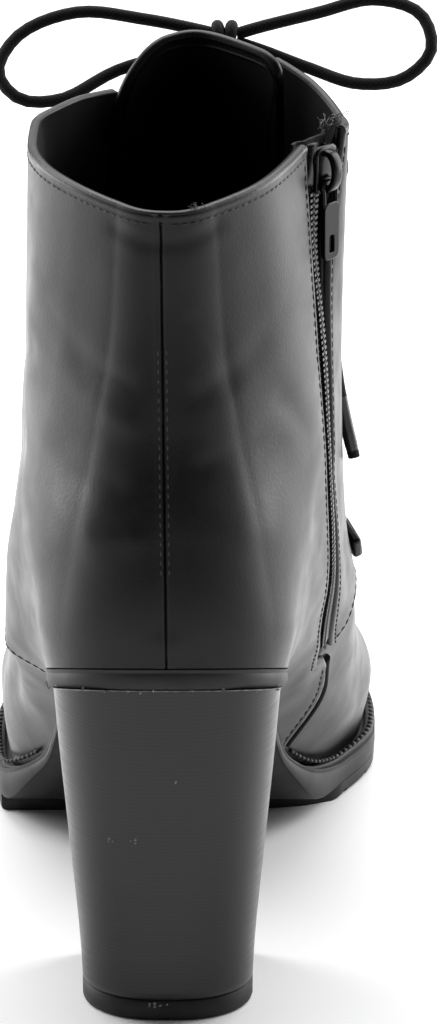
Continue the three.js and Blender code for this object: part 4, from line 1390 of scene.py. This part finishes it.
# %% Glue line under the rand
seat = heel_ring(1.0, -0.12, lambda y: underside(y) - 0.15)
back_part = seat[seat[:, 1] < 50]
order = np.argsort(np.arctan2(back_part[:, 0], 60 - back_part[:, 1]))
glue_path = spline(back_part[order][::2], 160)
bead = np.arange(160)
wobble = 0.11 + 0.07 * np.sin(bead * 1.7) * np.sin(bead * 0.31 + 1)
belongs(tube("glue_line", glue_path, wobble, 6, glue))
print("glue line", round(line_length(glue_path), 1), "mm")

# %% [markdown]
# ## Zip
# Two woven tapes lie behind the opening. Moulded teeth grip each other down their middle, and a
# glossy slider with a crown closes them. Teeth repeat along a path, so Geometry Nodes place them:
# each point of a small path mesh carries the direction along the zip and the one out of it.

# %% Things that repeat along a path
def repeat_tree(name, kind):
    """A node tree that puts one shape on every point, turned by the point's own directions."""
    tree = bpy.data.node_groups.new(name, "GeometryNodeTree")
    for label, socket in (("Points", "NodeSocketGeometry"), ("Length", "NodeSocketFloat"),
                          ("Width", "NodeSocketFloat"), ("Height", "NodeSocketFloat"),
                          ("Finish", "NodeSocketMaterial")):
        tree.interface.new_socket(label, in_out="INPUT", socket_type=socket)
    tree.interface.new_socket("Result", in_out="OUTPUT", socket_type="NodeSocketGeometry")
    enter = add(tree, "NodeGroupInput")
    turned = None
    for label, axis, pivot in (("along", "X", "AUTO"), ("out", "Z", "X")):
        read = add(tree, "GeometryNodeInputNamedAttribute", data_type="FLOAT_VECTOR", Name=label)
        align = add(tree, "FunctionNodeAlignRotationToVector", axis=axis, pivot_axis=pivot)
        join(tree, read.outputs["Attribute"], align.inputs["Vector"])
        if turned is not None:
            join(tree, turned, align.inputs["Rotation"])
        turned = align.outputs["Rotation"]
    if kind == "stitch":
        body = add(tree, "GeometryNodeMeshUVSphere", Segments=8, Rings=5, Radius=0.5).outputs["Mesh"]
    else:
        bar = add(tree, "GeometryNodeMeshCube", Size=(0.72, 1.0, 0.8))
        head = add(tree, "GeometryNodeMeshUVSphere", Segments=10, Rings=6, Radius=0.5)
        move = add(tree, "GeometryNodeTransform", Translation=(0, 0.22, 0.12), Scale=(1.15, 0.62, 0.95))
        both = add(tree, "GeometryNodeJoinGeometry")
        join(tree, head.outputs["Mesh"], move.inputs["Geometry"])
        join(tree, bar.outputs["Mesh"], both.inputs["Geometry"])
        join(tree, move.outputs["Geometry"], both.inputs["Geometry"])
        body = both.outputs["Geometry"]
    size = add(tree, "ShaderNodeCombineXYZ")
    for label, axis in (("Length", "X"), ("Width", "Y"), ("Height", "Z")):
        join(tree, enter.outputs[label], size.inputs[axis])
    place = add(tree, "GeometryNodeInstanceOnPoints")
    real = add(tree, "GeometryNodeRealizeInstances")
    paint = add(tree, "GeometryNodeSetMaterial")
    join(tree, enter.outputs["Points"], place.inputs["Points"])
    join(tree, body, place.inputs["Instance"])
    join(tree, turned, place.inputs["Rotation"])
    join(tree, size.outputs["Vector"], place.inputs["Scale"])
    join(tree, place.outputs["Instances"], real.inputs["Geometry"])
    join(tree, real.outputs["Geometry"], paint.inputs["Geometry"])
    join(tree, enter.outputs["Finish"], paint.inputs["Material"])
    join(tree, paint.outputs["Geometry"], add(tree, "NodeGroupOutput").inputs["Result"])
    return tree


stitch_tree = repeat_tree("stitches_on_points", "stitch")
tooth_tree = repeat_tree("zip_teeth_on_points", "tooth")


def repeat(name, tree, points, along, out, size_mm, material):
    """Runs a tree over points in millimetres and keeps the result as one plain mesh."""
    mesh = bpy.data.meshes.new(name + "_points")
    mesh.from_pydata([tuple(p) for p in to_frame(points)], [], [])
    for label, vectors in (("along", along), ("out", out)):
        attribute = mesh.attributes.new(label, "FLOAT_VECTOR", "POINT")
        attribute.data.foreach_set("vector", np.asarray(vectors, np.float32).ravel())
    holder = bpy.data.objects.new(name + "_points", mesh)
    bpy.context.scene.collection.objects.link(holder)
    change = holder.modifiers.new("repeat", "NODES")
    change.node_group = tree
    values = dict(zip(("Length", "Width", "Height"), [0.001 * s for s in size_mm]))
    values["Finish"] = material
    for item in tree.interface.items_tree:
        if item.in_out == "INPUT" and item.name in values:
            change[item.identifier] = values[item.name]
    ready = holder.evaluated_get(bpy.context.evaluated_depsgraph_get())
    result = bpy.data.meshes.new_from_object(ready)
    bpy.data.objects.remove(holder)
    result.shade_smooth()
    result.set_sharp_from_angle(angle=math.radians(50))
    piece = bpy.data.objects.new(name, result)
    bpy.context.scene.collection.objects.link(piece)
    return piece


def evenly(points, pitch):
    """Points one pitch apart along a dense line, with their direction along it."""
    run = np.r_[0, np.cumsum(np.linalg.norm(np.diff(points, axis=0), axis=1))]
    count = max(2, int(run[-1] / pitch))
    where = (np.arange(count) + 0.5) * run[-1] / count
    spots = np.stack([np.interp(where, run, points[:, k]) for k in range(3)], -1)
    nearby = np.stack([np.interp(where + 0.2, run, points[:, k]) for k in range(3)], -1)
    return spots, unit(nearby - spots + 1e-9), where / run[-1]


# %% Zip path
def zip_y(z):
    return smooth_curve(zip_height, zip_teeth, np.ravel(z))


def zip_place(z, across, depth):
    loop, level = find(zip_y(z) + across, z, True)
    return form(loop, level) + outward(loop, level) * np.reshape(depth, (-1, 1))


def zip_out(z, across=0.0):
    loop, level = find(zip_y(z) + across, z, True)
    return outward(loop, level)


def teeth_depth(z):
    """The zip lies a little prouder over the ankle than under the slider."""
    return mix(0.0, -1.75, smooth_step((np.asarray(z) - 140) / 42))


zip_low, zip_high = 0.308 * collar_front, 0.971 * collar_front
slider_z = 0.947 * collar_front
tooth_pitch = 1.42
tooth_size = (1.0, 2.3, 1.25)
teeth_z = np.linspace(zip_low + 1.5, slider_z - 5.5, 400)
for number, across in enumerate((-0.78, 0.78)):
    line = zip_place(teeth_z, np.full(400, across), teeth_depth(teeth_z))
    spots, along, share = evenly(line, tooth_pitch)
    spots = spots + along * (0.5 * tooth_pitch * number)
    out = zip_out(np.interp(share, np.linspace(0, 1, 400), teeth_z), across)
    ahead = along if number else -along
    piece = repeat("zip_teeth_%d" % number, tooth_tree, spots, ahead, out, tooth_size, zip_plastic)
    belongs(piece, ["zip_chain"] if number == 0 else [])
    print("zip column", number, len(spots), "teeth")

# %% Zip tape
tape_wide, tape_end_wide, tape_columns = 9, 5.2, 19
tape_thick = 0.7
tape_rows = []
for z in np.linspace(zip_low - 4, zip_high + 2.2, 70):
    half_width = mix(tape_wide, tape_end_wide, np.clip((z - zip_high + 6) / 5, 0, 1))
    across = np.linspace(-half_width, half_width, tape_columns)
    heights = np.full(tape_columns, z)
    ripple = 0.025 * math.sin(z * 0.9)
    middle = np.clip(3.9 - np.abs(across), 0, 1)
    depth = mix(ripple - 4.05, teeth_depth(z) - 1.05, middle)
    front = zip_place(heights, across, depth)
    rear = zip_place(heights, across[::-1], depth[::-1] - tape_thick)
    tape_rows.append(np.concatenate([front, rear]))
belongs(sweep("zip_tape_weave", tape_rows, zip_tape_weave), ["zip_tape"])
for number, across in enumerate((-2.6, 2.6)):
    z = np.linspace(zip_low - 2, zip_high, 120)
    cord_line = zip_place(z, np.full(120, across), teeth_depth(z) - 0.95)
    belongs(tube("zip_cord_%d" % number, cord_line, 0.62, 8, zip_tape_weave))

# %% [markdown]
# The slider is two plates round the teeth with a crown over them. The pull hangs from the crown
# by its own weight and is the only hard piece that moves, so it rides on its own body.

# %% Slider frame
slider_spot = zip_place([slider_z], 0.0, 0.0)[0]
slider_down = unit(zip_place([slider_z - 8], 0.0, 0.0)[0] - zip_place([slider_z + 4], 0.0, 0.0)[0])
slider_side = unit(np.cross(slider_down, zip_out([slider_z])[0]))
slider_out = unit(np.cross(slider_side, slider_down))


def on_slider(out, down, side):
    return slider_spot + slider_out * out + slider_down * down + slider_side * side


plate_outline = [
    (-6.3, 2.6), (-5.6, 3.9), (-4.4, 4.4), (-3.0, 4.4), (-1.2, 4.0), (0.8, 3.6), (3.0, 3.5),
    (4.6, 3.4), (5.4, 2.6),
]
both_sides = plate_outline + [(down, -side) for down, side in reversed(plate_outline)]
for name, low, high in (("front", 0.2, 1.45), ("rear", -3.4, -2.5)):
    rows = []
    for out, inset in ((low, 0.35), (low + 0.3, 0), (high - 0.35, 0), (high - 0.1, 0.25), (high, 0.7)):
        shorter, narrower = 1 - inset / 6, 1 - inset / 4.4
        rows.append([on_slider(out, down * shorter, side * narrower) for down, side in both_sides])
    piece = sweep("slider_%s_plate" % name, rows, gloss_black, smooth_angle=55)
    belongs(piece, ["zip_slider"] if name == "front" else [])


def signed_power(value, power):
    return math.copysign(abs(value) ** power, value)


# %% Crown and rails of the slider
crown_points = [
    on_slider(0.9, -4.8, 0), on_slider(3.0, -4.2, 0), on_slider(4.35, -1.6, 0),
    on_slider(4.4, 1.8, 0), on_slider(3.1, 4.0, 0), on_slider(0.9, 4.6, 0),
]
crown_half_wide, crown_half_thick = 1.62, 0.78
crown_path = spline(crown_points, 36)
crown_over = unit(np.cross(unit(np.gradient(crown_path, axis=0)), slider_side))
crown_rows = []
for point, over in zip(crown_path, crown_over):
    ring = []
    for turn in np.linspace(0, 2 * math.pi, 20, endpoint=False):
        side = crown_half_wide * signed_power(math.cos(turn), 0.45)
        rise = crown_half_thick * signed_power(math.sin(turn), 0.6)
        ring.append(point + slider_side * side + over * rise)
    crown_rows.append(ring)
belongs(sweep("slider_crown", crown_rows, gloss_black, smooth_angle=55))
for label, side in (("a", -1), ("b", 1)):
    rail = [on_slider(1.2, -4.6, 4.0 * side), on_slider(1.3, 0, 3.7 * side), on_slider(1.2, 4.6, 3.2 * side)]
    belongs(tube("slider_rail_" + label, spline(rail, 20), 0.42, 10, gloss_black))
print("slider at", np.round(slider_spot, 1))

# %% Pull tab
pivot = on_slider(2.35, 1.9, 0)
pull_side = unit(np.array([slider_side[0], slider_side[1], 0]))
pull_out = unit(np.cross(pull_side, [0, 0, 1.0]))
pull_out = pull_out * (1 if pull_out.dot(slider_out) > 0 else -1)


def on_pull(down, side, out):
    return pivot + np.array([0, 0, -down]) + pull_side * side + pull_out * out


def capsule(half, top, bottom, square=1.0, count=12):
    """A rounded outline with its corner count the same for every size, squarer as square falls."""
    angle = np.linspace(0, math.pi, count)
    turns = [(abs(math.sin(a)) ** square, signed_power(math.cos(a), square)) for a in angle]
    high = [(top + half - half * rise, half * side) for rise, side in turns]
    low = [(bottom - half + half * rise, -half * side) for rise, side in turns]
    return high + low


def soften(piece, width_mm, segments):
    """Gives a piece small round edges."""
    bevel = piece.modifiers.new("soft_edge", "BEVEL")
    bevel.width = width_mm * 0.001
    bevel.segments = segments
    return piece


def plate_with_hole(name, outer, hole, centre, half_thick, material):
    """A plate in the pull's own directions, with one hole and the same count in both outlines."""
    count = len(outer)
    points = []
    for out in (-half_thick, half_thick):
        points += [on_pull(down, side, centre + out) for down, side in outer]
        points += [on_pull(down, side, centre + out) for down, side in hole]
    faces = []
    for k in range(count):
        n = (k + 1) % count
        rear_outer, rear_hole = (k, n), (count + k, count + n)
        front_outer, front_hole = (2 * count + k, 2 * count + n), (3 * count + k, 3 * count + n)
        faces.append((rear_outer[0], rear_outer[1], rear_hole[1], rear_hole[0]))
        faces.append((front_outer[1], front_outer[0], front_hole[0], front_hole[1]))
        faces.append((rear_outer[1], rear_outer[0], front_outer[0], front_outer[1]))
        faces.append((rear_hole[0], rear_hole[1], front_hole[1], front_hole[0]))
    return soften(turn_out(make_piece(name, to_frame(points), faces, [material])), 0.22, 2)


tab_outline = capsule(2.9, 5.5, 19.6, 0.45)
tab_hole = capsule(1.0, 13.6, 17.9, 0.7)
tab = plate_with_hole("pull_tab", tab_outline, tab_hole, 0.5, 0.6, gloss_black)
belongs(tab, ["zip_pull"], body="pull")
loop_points = [
    on_pull(6.4, -2.4, 0.4), on_pull(3.0, -2.5, 0.3), on_pull(0.3, -2.4, 0.05), on_pull(-0.15, 0, 0),
    on_pull(0.3, 2.4, 0.05), on_pull(3.0, 2.5, 0.3), on_pull(6.4, 2.4, 0.4),
]
piece = tube("pull_loop", spline(loop_points, 40), 0.58, 12, gloss_black)
belongs(piece, body="pull")
print("pull hangs from", np.round(pivot, 1))

# %% [markdown]
# ## Lacing rings
# Five pairs of dark metal D-rings carry the lace. Each is held by a small leather strap that is
# folded round the ring's straight bar and fixed with a domed rivet.

# %% Rings, straps and rivets
ring_heights = [0.409, 0.558, 0.692, 0.822, 0.947]
ring_pairs = len(ring_heights)
ring_places = {
    "lateral": [0.512, 0.475, 0.442, 0.409, 0.380],
    "medial": [0.479, 0.459, 0.442, 0.426, 0.409],
}


def ring_frame(side, number):
    """Where a ring sits: its place, its directions out, up and ahead, and its loop and level."""
    y, z = ring_places[side][number] * length, ring_heights[number] * collar_front
    loop, level = (found[0] for found in find(y, z, side == "medial"))
    out = outward(np.array([loop]), np.array([level]))[0]
    rise = unit(form(loop, min(level + 0.02, 1)) - form(loop, level - 0.02))
    rise = unit(rise - out * rise.dot(out))
    ahead = unit(np.cross(rise, out))
    if ahead[1] < 0:
        ahead = -ahead
    spot = on_form(np.array([loop]), np.array([level]), np.array([skin_outer]))[0]
    return spot, out, rise, ahead, loop, level


def rounded_box(name, middle, axes, half, radius, material):
    """A box with soft edges, from its half sizes along three directions."""
    signs = [(a, b, c) for a in (-1, 1) for b in (-1, 1) for c in (-1, 1)]
    corners = [middle + sum(axes[k] * turn[k] * half[k] for k in range(3)) for turn in signs]
    return soften(turn_out(make_piece(name, to_frame(corners), box_faces(0), [material])), radius, 3)


def dome(name, middle, out, side, radius, height, material):
    other = np.cross(out, side)
    turn = np.arange(16) * 2 * math.pi / 16
    rows = []
    for angle in np.linspace(0, 1, 7) * math.pi / 2:
        centre = middle + out * height * math.sin(angle)
        size = max(radius * math.cos(angle), 0.05)
        rows.append([centre + size * (math.cos(t) * side + math.sin(t) * other) for t in turn])
    return sweep(name, rows, material, smooth_angle=60)


strap_half = (4.4, 3.6, 1.35)
for side_name in ("lateral", "medial"):
    for number in range(ring_pairs):
        spot, out, rise, ahead, _, _ = ring_frame(side_name, number)

        def local(a, b, n):
            return spot + ahead * a + rise * b + out * n

        outline = [
            local(0, -5.4, 1.3), local(0, 0, 1.3), local(0, 5.4, 1.3),
            local(3.4, 4.9, 2.0), local(5.4, 0, 2.4), local(3.4, -4.9, 2.0),
        ]
        label = "%s_ring_%d" % (side_name, number + 1)
        ring = tube("metal_" + label, spline(outline, 48, closed=True), 0.95, 12, ring_metal, closed=True)
        belongs(ring, [label])
        axes = (ahead, rise, out)
        strap = rounded_box("strap_" + label, local(-3.2, 0, 1.45), axes, strap_half, 1.0, black_leather)
        belongs(strap)
        rivet = dome("rivet_" + label, local(-4.2, 0, 2.65), out, rise, 1.5, 0.7, ring_metal)
        belongs(rivet)
print("ten rings with straps and rivets")

# %% [markdown]
# ## Lacing
# The lace runs straight through the lowest pair of rings, then crosses over the tongue from pair
# to pair, and its two necks rise from the top rings to the knot. It passes through each ring.

# %% Lace through the rings
lace_lift = lace_radius + 1.6


def crossing(first, second, trim):
    """A run of lace over the tongue from one ring to another."""
    loop_a, level_a = ring_frame(*first)[4:]
    loop_b, level_b = ring_frame(*second)[4:]
    share = np.linspace(0, 1, 26)
    loops = mix(loop_a, loop_b, mix(trim, 1 - trim, share))
    rows = mix(level_a, level_b, share)
    hump = 0.9 * np.sin(np.pi * share) ** 2
    return form(loops, rows) + outward(loops, rows) * (lace_lift + hump)[:, None]


over_trim = 0.06
lines = [crossing(("lateral", 0), ("medial", 0), over_trim)]
for number in range(ring_pairs - 1):
    lines.append(crossing(("lateral", number), ("medial", number + 1), over_trim))
    lines.append(crossing(("medial", number), ("lateral", number + 1), over_trim))
neck_trim = 0.115
outer_neck = crossing(("medial", 3), ("lateral", 4), neck_trim)[-1]
inner_neck = crossing(("lateral", 3), ("medial", 4), neck_trim)[-1]
lines.append(spline([outer_neck, bow(-10, 2.5, -8.5), bow(5.6, 9.8, -1.8)], 20))
lines.append(spline([inner_neck, bow(20, 4.5, -7), bow(8.2, 9.8, -1.8)], 20))
for number, line in enumerate(lines):
    piece = tube("lace_run_%d" % number, line, lace_radius, 14, lace_braid)
    belongs(piece, ["lace_crossings"] if number == 0 else [])
print(len(lines), "runs of lace")

# %% [markdown]
# ## Stitches
# Rows of stitches follow the seams. Each row is a line on the form, found from the seam in the
# side view, and the same node tree as for the teeth puts one stitch on each of its points.

# %% Stitch rows
def stitch_row(name, loops, rows, out_mm, pitch, size_mm, material):
    """A row on the form: loops and rows are its line, out_mm its height over the form."""
    line = on_form(loops, rows, np.full(len(loops), out_mm))
    spots, along, share = evenly(line, pitch)
    places = np.linspace(0, 1, len(loops))
    out = np.stack([np.interp(share, places, outward(loops, rows)[:, k]) for k in range(3)], -1)
    piece = repeat(name, stitch_tree, spots, along, unit(out), size_mm, material)
    belongs(piece)
    return len(spots)


def side_row(name, points, inner_side, material, pitch=2.3, size_mm=(1.75, 0.42, 0.34)):
    """A row that follows a line of the side view, on the inner or the outer side."""
    flat = np.asarray(rounded(points, 160))
    loops, rows = find(flat[:, 0], flat[:, 1], inner_side)
    keep = (rows > 0.004) & (rows < 0.985)
    return stitch_row(name, loops[keep], rows[keep], skin_outer, pitch, size_mm, material)


collar_inset = 2.6
total = 0
for number, start, stop in runs:
    run = round_once[start + 8:stop - 7]
    height_per_level = np.linalg.norm(form(run, 1.0) - form(run, 0.98), axis=-1) / 0.02
    total += stitch_row(
        "collar_stitches_%d" % number, run, 1 - collar_inset / height_per_level, skin_outer + 0.02,
        2.35, (1.9, 0.62, 0.34), dark_thread,
    )
print(total, "collar stitches")

# %% Stitches of the back seam
heights = np.linspace(116, 170, 260)
level = smooth_curve([93.5 + 109.5 * r for r in back_rise], levels, heights)
step = 1e-4
for number, side in enumerate((-0.95, 0.95)):
    seam_x = side + seam_lean(heights)
    loop = np.zeros(len(heights))
    for _ in range(14):
        here = form(loop, level)[:, 0]
        slope = form(loop + step, level)[:, 0] - here
        slope = np.where(np.abs(slope) < 1e-9, -1e-9, slope)
        loop = np.clip(loop - (here - seam_x) / slope * step * 0.8, -0.05, 0.05)
    total += stitch_row(
        "back_seam_stitches_%d" % number, loop, level, skin_outer + 0.22,
        2.2, (1.45, 0.42, 0.3), seam_thread,
    )


# %% Stitches along the seams of the side view
def moved(points, distance):
    """A line in the side view moved sideways by a distance."""
    points = np.asarray(points, float)
    along = unit(np.gradient(points, axis=0))
    return points + np.c_[-along[:, 1], along[:, 0]] * distance


side_rows = [
    ("outer_seam_stitches", moved(smooth_rise, row_inset), False, dark_thread, 2.6, (2.1, 0.6, 0.34)),
    ("zip_rear_stitches", moved(rear_line, row_inset), True, dark_thread),
    ("zip_front_stitches", moved(front_line, -row_inset), True, dark_thread),
    ("inner_seam_stitches", moved(inner_seam, row_inset), True, seam_thread),
    ("outer_facing_stitches", moved(rounded(facing_low[:4], 60), row_inset)[:40], False, dark_thread),
    ("inner_facing_stitches", moved(inner_facing[5:40], row_inset), True, dark_thread),
]
total += sum(side_row(*row) for row in side_rows)

# %% Stitches of the welt
welt_line = welt_base + welt_side * np.maximum(reach_out - 1.0, 0.6)[:, None]
welt_line[:, 2] = feather(welt_y) + 2.0
spots, along, _ = evenly(welt_line, 2.7)
upright = np.tile([0, 0, 1.0], (len(spots), 1))
piece = repeat("welt_stitches", stitch_tree, spots, along, upright, (1.8, 1.5, 1.0), welt_thread)
belongs(piece)
total += len(spots)
print(total, "stitches in all")

# %% [markdown]
# ## Painted seam shade, and marks of making and wear
# The photograph shows a boot that has been handled. A dark matt tube lies in the inner seam as
# painted shade of its gap, dry glue has left specks where the heel seat meets the leather, the
# heel has a few light scuffs, and the end of the zip tape is frayed. The specks are the stitch tree
# again, over scattered points.

# %% Dark tubes in the seams
def laid_line(points, inner_side, out_mm):
    flat = np.asarray(rounded(points, 80))
    loops, rows = find(flat[:, 0], flat[:, 1], inner_side)
    keep = rows > 0.006
    return on_form(loops[keep], rows[keep], np.full(keep.sum(), out_mm))


# Painted shade: the inner tube is dark matt cloth laid where the gap between the quarter and the vamp lies
# in shade.
dark_tube_path = laid_line(moved(inner_seam, -1.1), True, -0.75)
belongs(tube("inner_seam_painted_shade_tube", dark_tube_path, 1.2, 12, lining_cloth))
dark_tube_path = laid_line(moved(smooth_rise[:34], -0.7), False, -0.6)
belongs(tube("outer_seam_piping", dark_tube_path, 0.5, 10, sole_rubber))

# %% Specks of glue and scuffs
block_high = 82
chance = np.random.default_rng(7)
speck_spots, speck_out = [], []
rand_line = bottom_ring(lambda y: ledge(y) + 0.02, lambda y: underside(y) + 0.1)
for x_place, spread_mm, count in ((-28.6, 1.6, 9), (27.8, 1.2, 5), (-8.0, 14.0, 7), (12.0, 10.0, 5)):
    for x in chance.normal(x_place, spread_mm, count):
        near = np.argmin(np.abs(rand_line[:, 0] - x) + 10 * (rand_line[:, 1] > 50))
        speck_spots.append(rand_line[near] + [0, -0.05, chance.uniform(-0.5, 0.5)])
        speck_out.append([0.2 * np.sign(x), -1, 0])
scuffs = [(-13.5, 47.0, 0.8, 6), (-7.5, 47.8, 0.6, 5), (2.0, 63.0, 0.4, 2), (-3.0, 4.0, 2.0, 9)]
for x, z, spread_mm, count in scuffs:
    for _ in range(count):
        at = x + chance.normal(0, spread_mm)
        height = z + chance.normal(0, 0.4)
        share = np.clip((height - lift_thick) / block_high, 0, 1)
        ring = heel_ring(share, 0, lambda y: np.full(len(y), height))
        back_half = ring[ring[:, 1] < 28]
        near = back_half[np.argmin(np.abs(back_half[:, 0] - at))]
        speck_spots.append([near[0], near[1] - 0.02, height])
        speck_out.append([0.03 * at, -1, 0])
speck_along = chance.normal(0, 1, (len(speck_spots), 3))
specks = repeat("glue_and_scuff_specks", stitch_tree, np.array(speck_spots), unit(speck_along),
                unit(np.array(speck_out)), (0.85, 0.45, 0.2), glue)
belongs(specks)


# %% Frayed ends
def fibre(name, start, drift_mm, lean, steps, count, radius):
    """A loose thread that wanders from its start."""
    drift = chance.normal(0, drift_mm, (steps, 3)) + lean
    path = spline(start + np.cumsum(np.vstack([np.zeros(3), drift]), axis=0), count)
    belongs(tube(name, path, radius, 5, seam_thread))


for number in range(14):
    z = zip_high + 2.6 + chance.uniform(-0.6, 1.2)
    start = zip_place([z], chance.uniform(1.0, 9.0), -4.2)[0]
    fibre("tape_fibre_%d" % number, start, 1.0, [0.4, 0.2, 0.5], 4, 16, 0.10)
for number in range(9):
    loop = np.array([0.945 + chance.uniform(-0.012, 0.012)])
    start = on_form(loop, np.array([1.0]), np.array([-0.6]))[0] + [0, 0, 0.3]
    fibre("collar_fibre_%d" % number, start, 0.7, [0.1, 0.1, 0.35], 3, 12, 0.08)
print(len(speck_spots), "specks")

# %% [markdown]
# ## Light and floor
# The photograph has white all round and no hard shadow: two large soft lights stand to the left
# and right, so the black leather shows broad pale bands along its edges and stays dark in the
# middle. A third hangs high in front of the toe and lights the roll of the collar. The sky fades
# from bright behind the boot to dark on the camera's side, so the middle stays dark too. The
# plain Standard view keeps the white ground white.

# %% Studio
floor_half = 6.0
floor_mesh = bpy.data.meshes.new("floor")
corners = [(floor_half * x, floor_half * y, 0) for x, y in ((-1, -1), (1, -1), (1, 1), (-1, 1))]
floor_mesh.from_pydata(corners, [], [(0, 1, 2, 3)])
floor = bpy.data.objects.new("floor", floor_mesh)
bpy.context.scene.collection.objects.link(floor)
floor_paint, _ = finish("pale_floor", (0.94, 0.94, 0.94), 0.9)
floor_mesh.materials.append(floor_paint)
floor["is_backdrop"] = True

world = bpy.data.worlds.new("soft_studio")
bpy.context.scene.world = world
world.use_nodes = True
sky = world.node_tree.nodes["Background"]
parts = add(world, "ShaderNodeSeparateXYZ")
join(world, add(world, "ShaderNodeTexCoord").outputs["Generated"], parts.inputs["Vector"])
to_side = reckon(world, "ABSOLUTE", parts.outputs["X"])
behind_share = reckon(world, "MULTIPLY_ADD", to_side, 0.55, parts.outputs["Y"])
fade = add(world, "ShaderNodeMapRange", From_Min=-0.15, From_Max=0.70, To_Min=0.015, To_Max=1.2)
join(world, reckon(world, "MULTIPLY_ADD", parts.outputs["Z"], -0.15, behind_share), fade.inputs["Value"])
join(world, fade.outputs["Result"], sky.inputs["Strength"])
sky.inputs["Color"].default_value = (1, 1, 1, 1)


light_aim = Vector((0, 0.05, 0.12))


def soft_light(name, location, size, power):
    data = bpy.data.lights.new(name, "AREA")
    data.shape = "RECTANGLE"
    data.size, data.size_y = size
    data.energy = power
    light = bpy.data.objects.new(name, data)
    light.location = location
    bpy.context.scene.collection.objects.link(light)
    light.rotation_euler = (light_aim - Vector(location)).to_track_quat("-Z", "Y").to_euler()


soft_light("left_softbox", (-0.72, 0.48, 0.34), (0.5, 1.0), 10)
soft_light("right_softbox", (0.74, 0.44, 0.34), (0.5, 1.0), 10)
soft_light("top_softbox", (0.0, 0.60, 1.1), (1.0, 1.0), 14)
bpy.context.scene.view_settings.view_transform = "Standard"
print("two side lights and one above")

# %% [markdown]
# The box round everything that renders, the floor left out, is printed.

# %% Sizes and finish
bpy.context.view_layer.update()
low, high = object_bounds()
print("visual box", [round(v, 4) for v in low], [round(v, 4) for v in high])
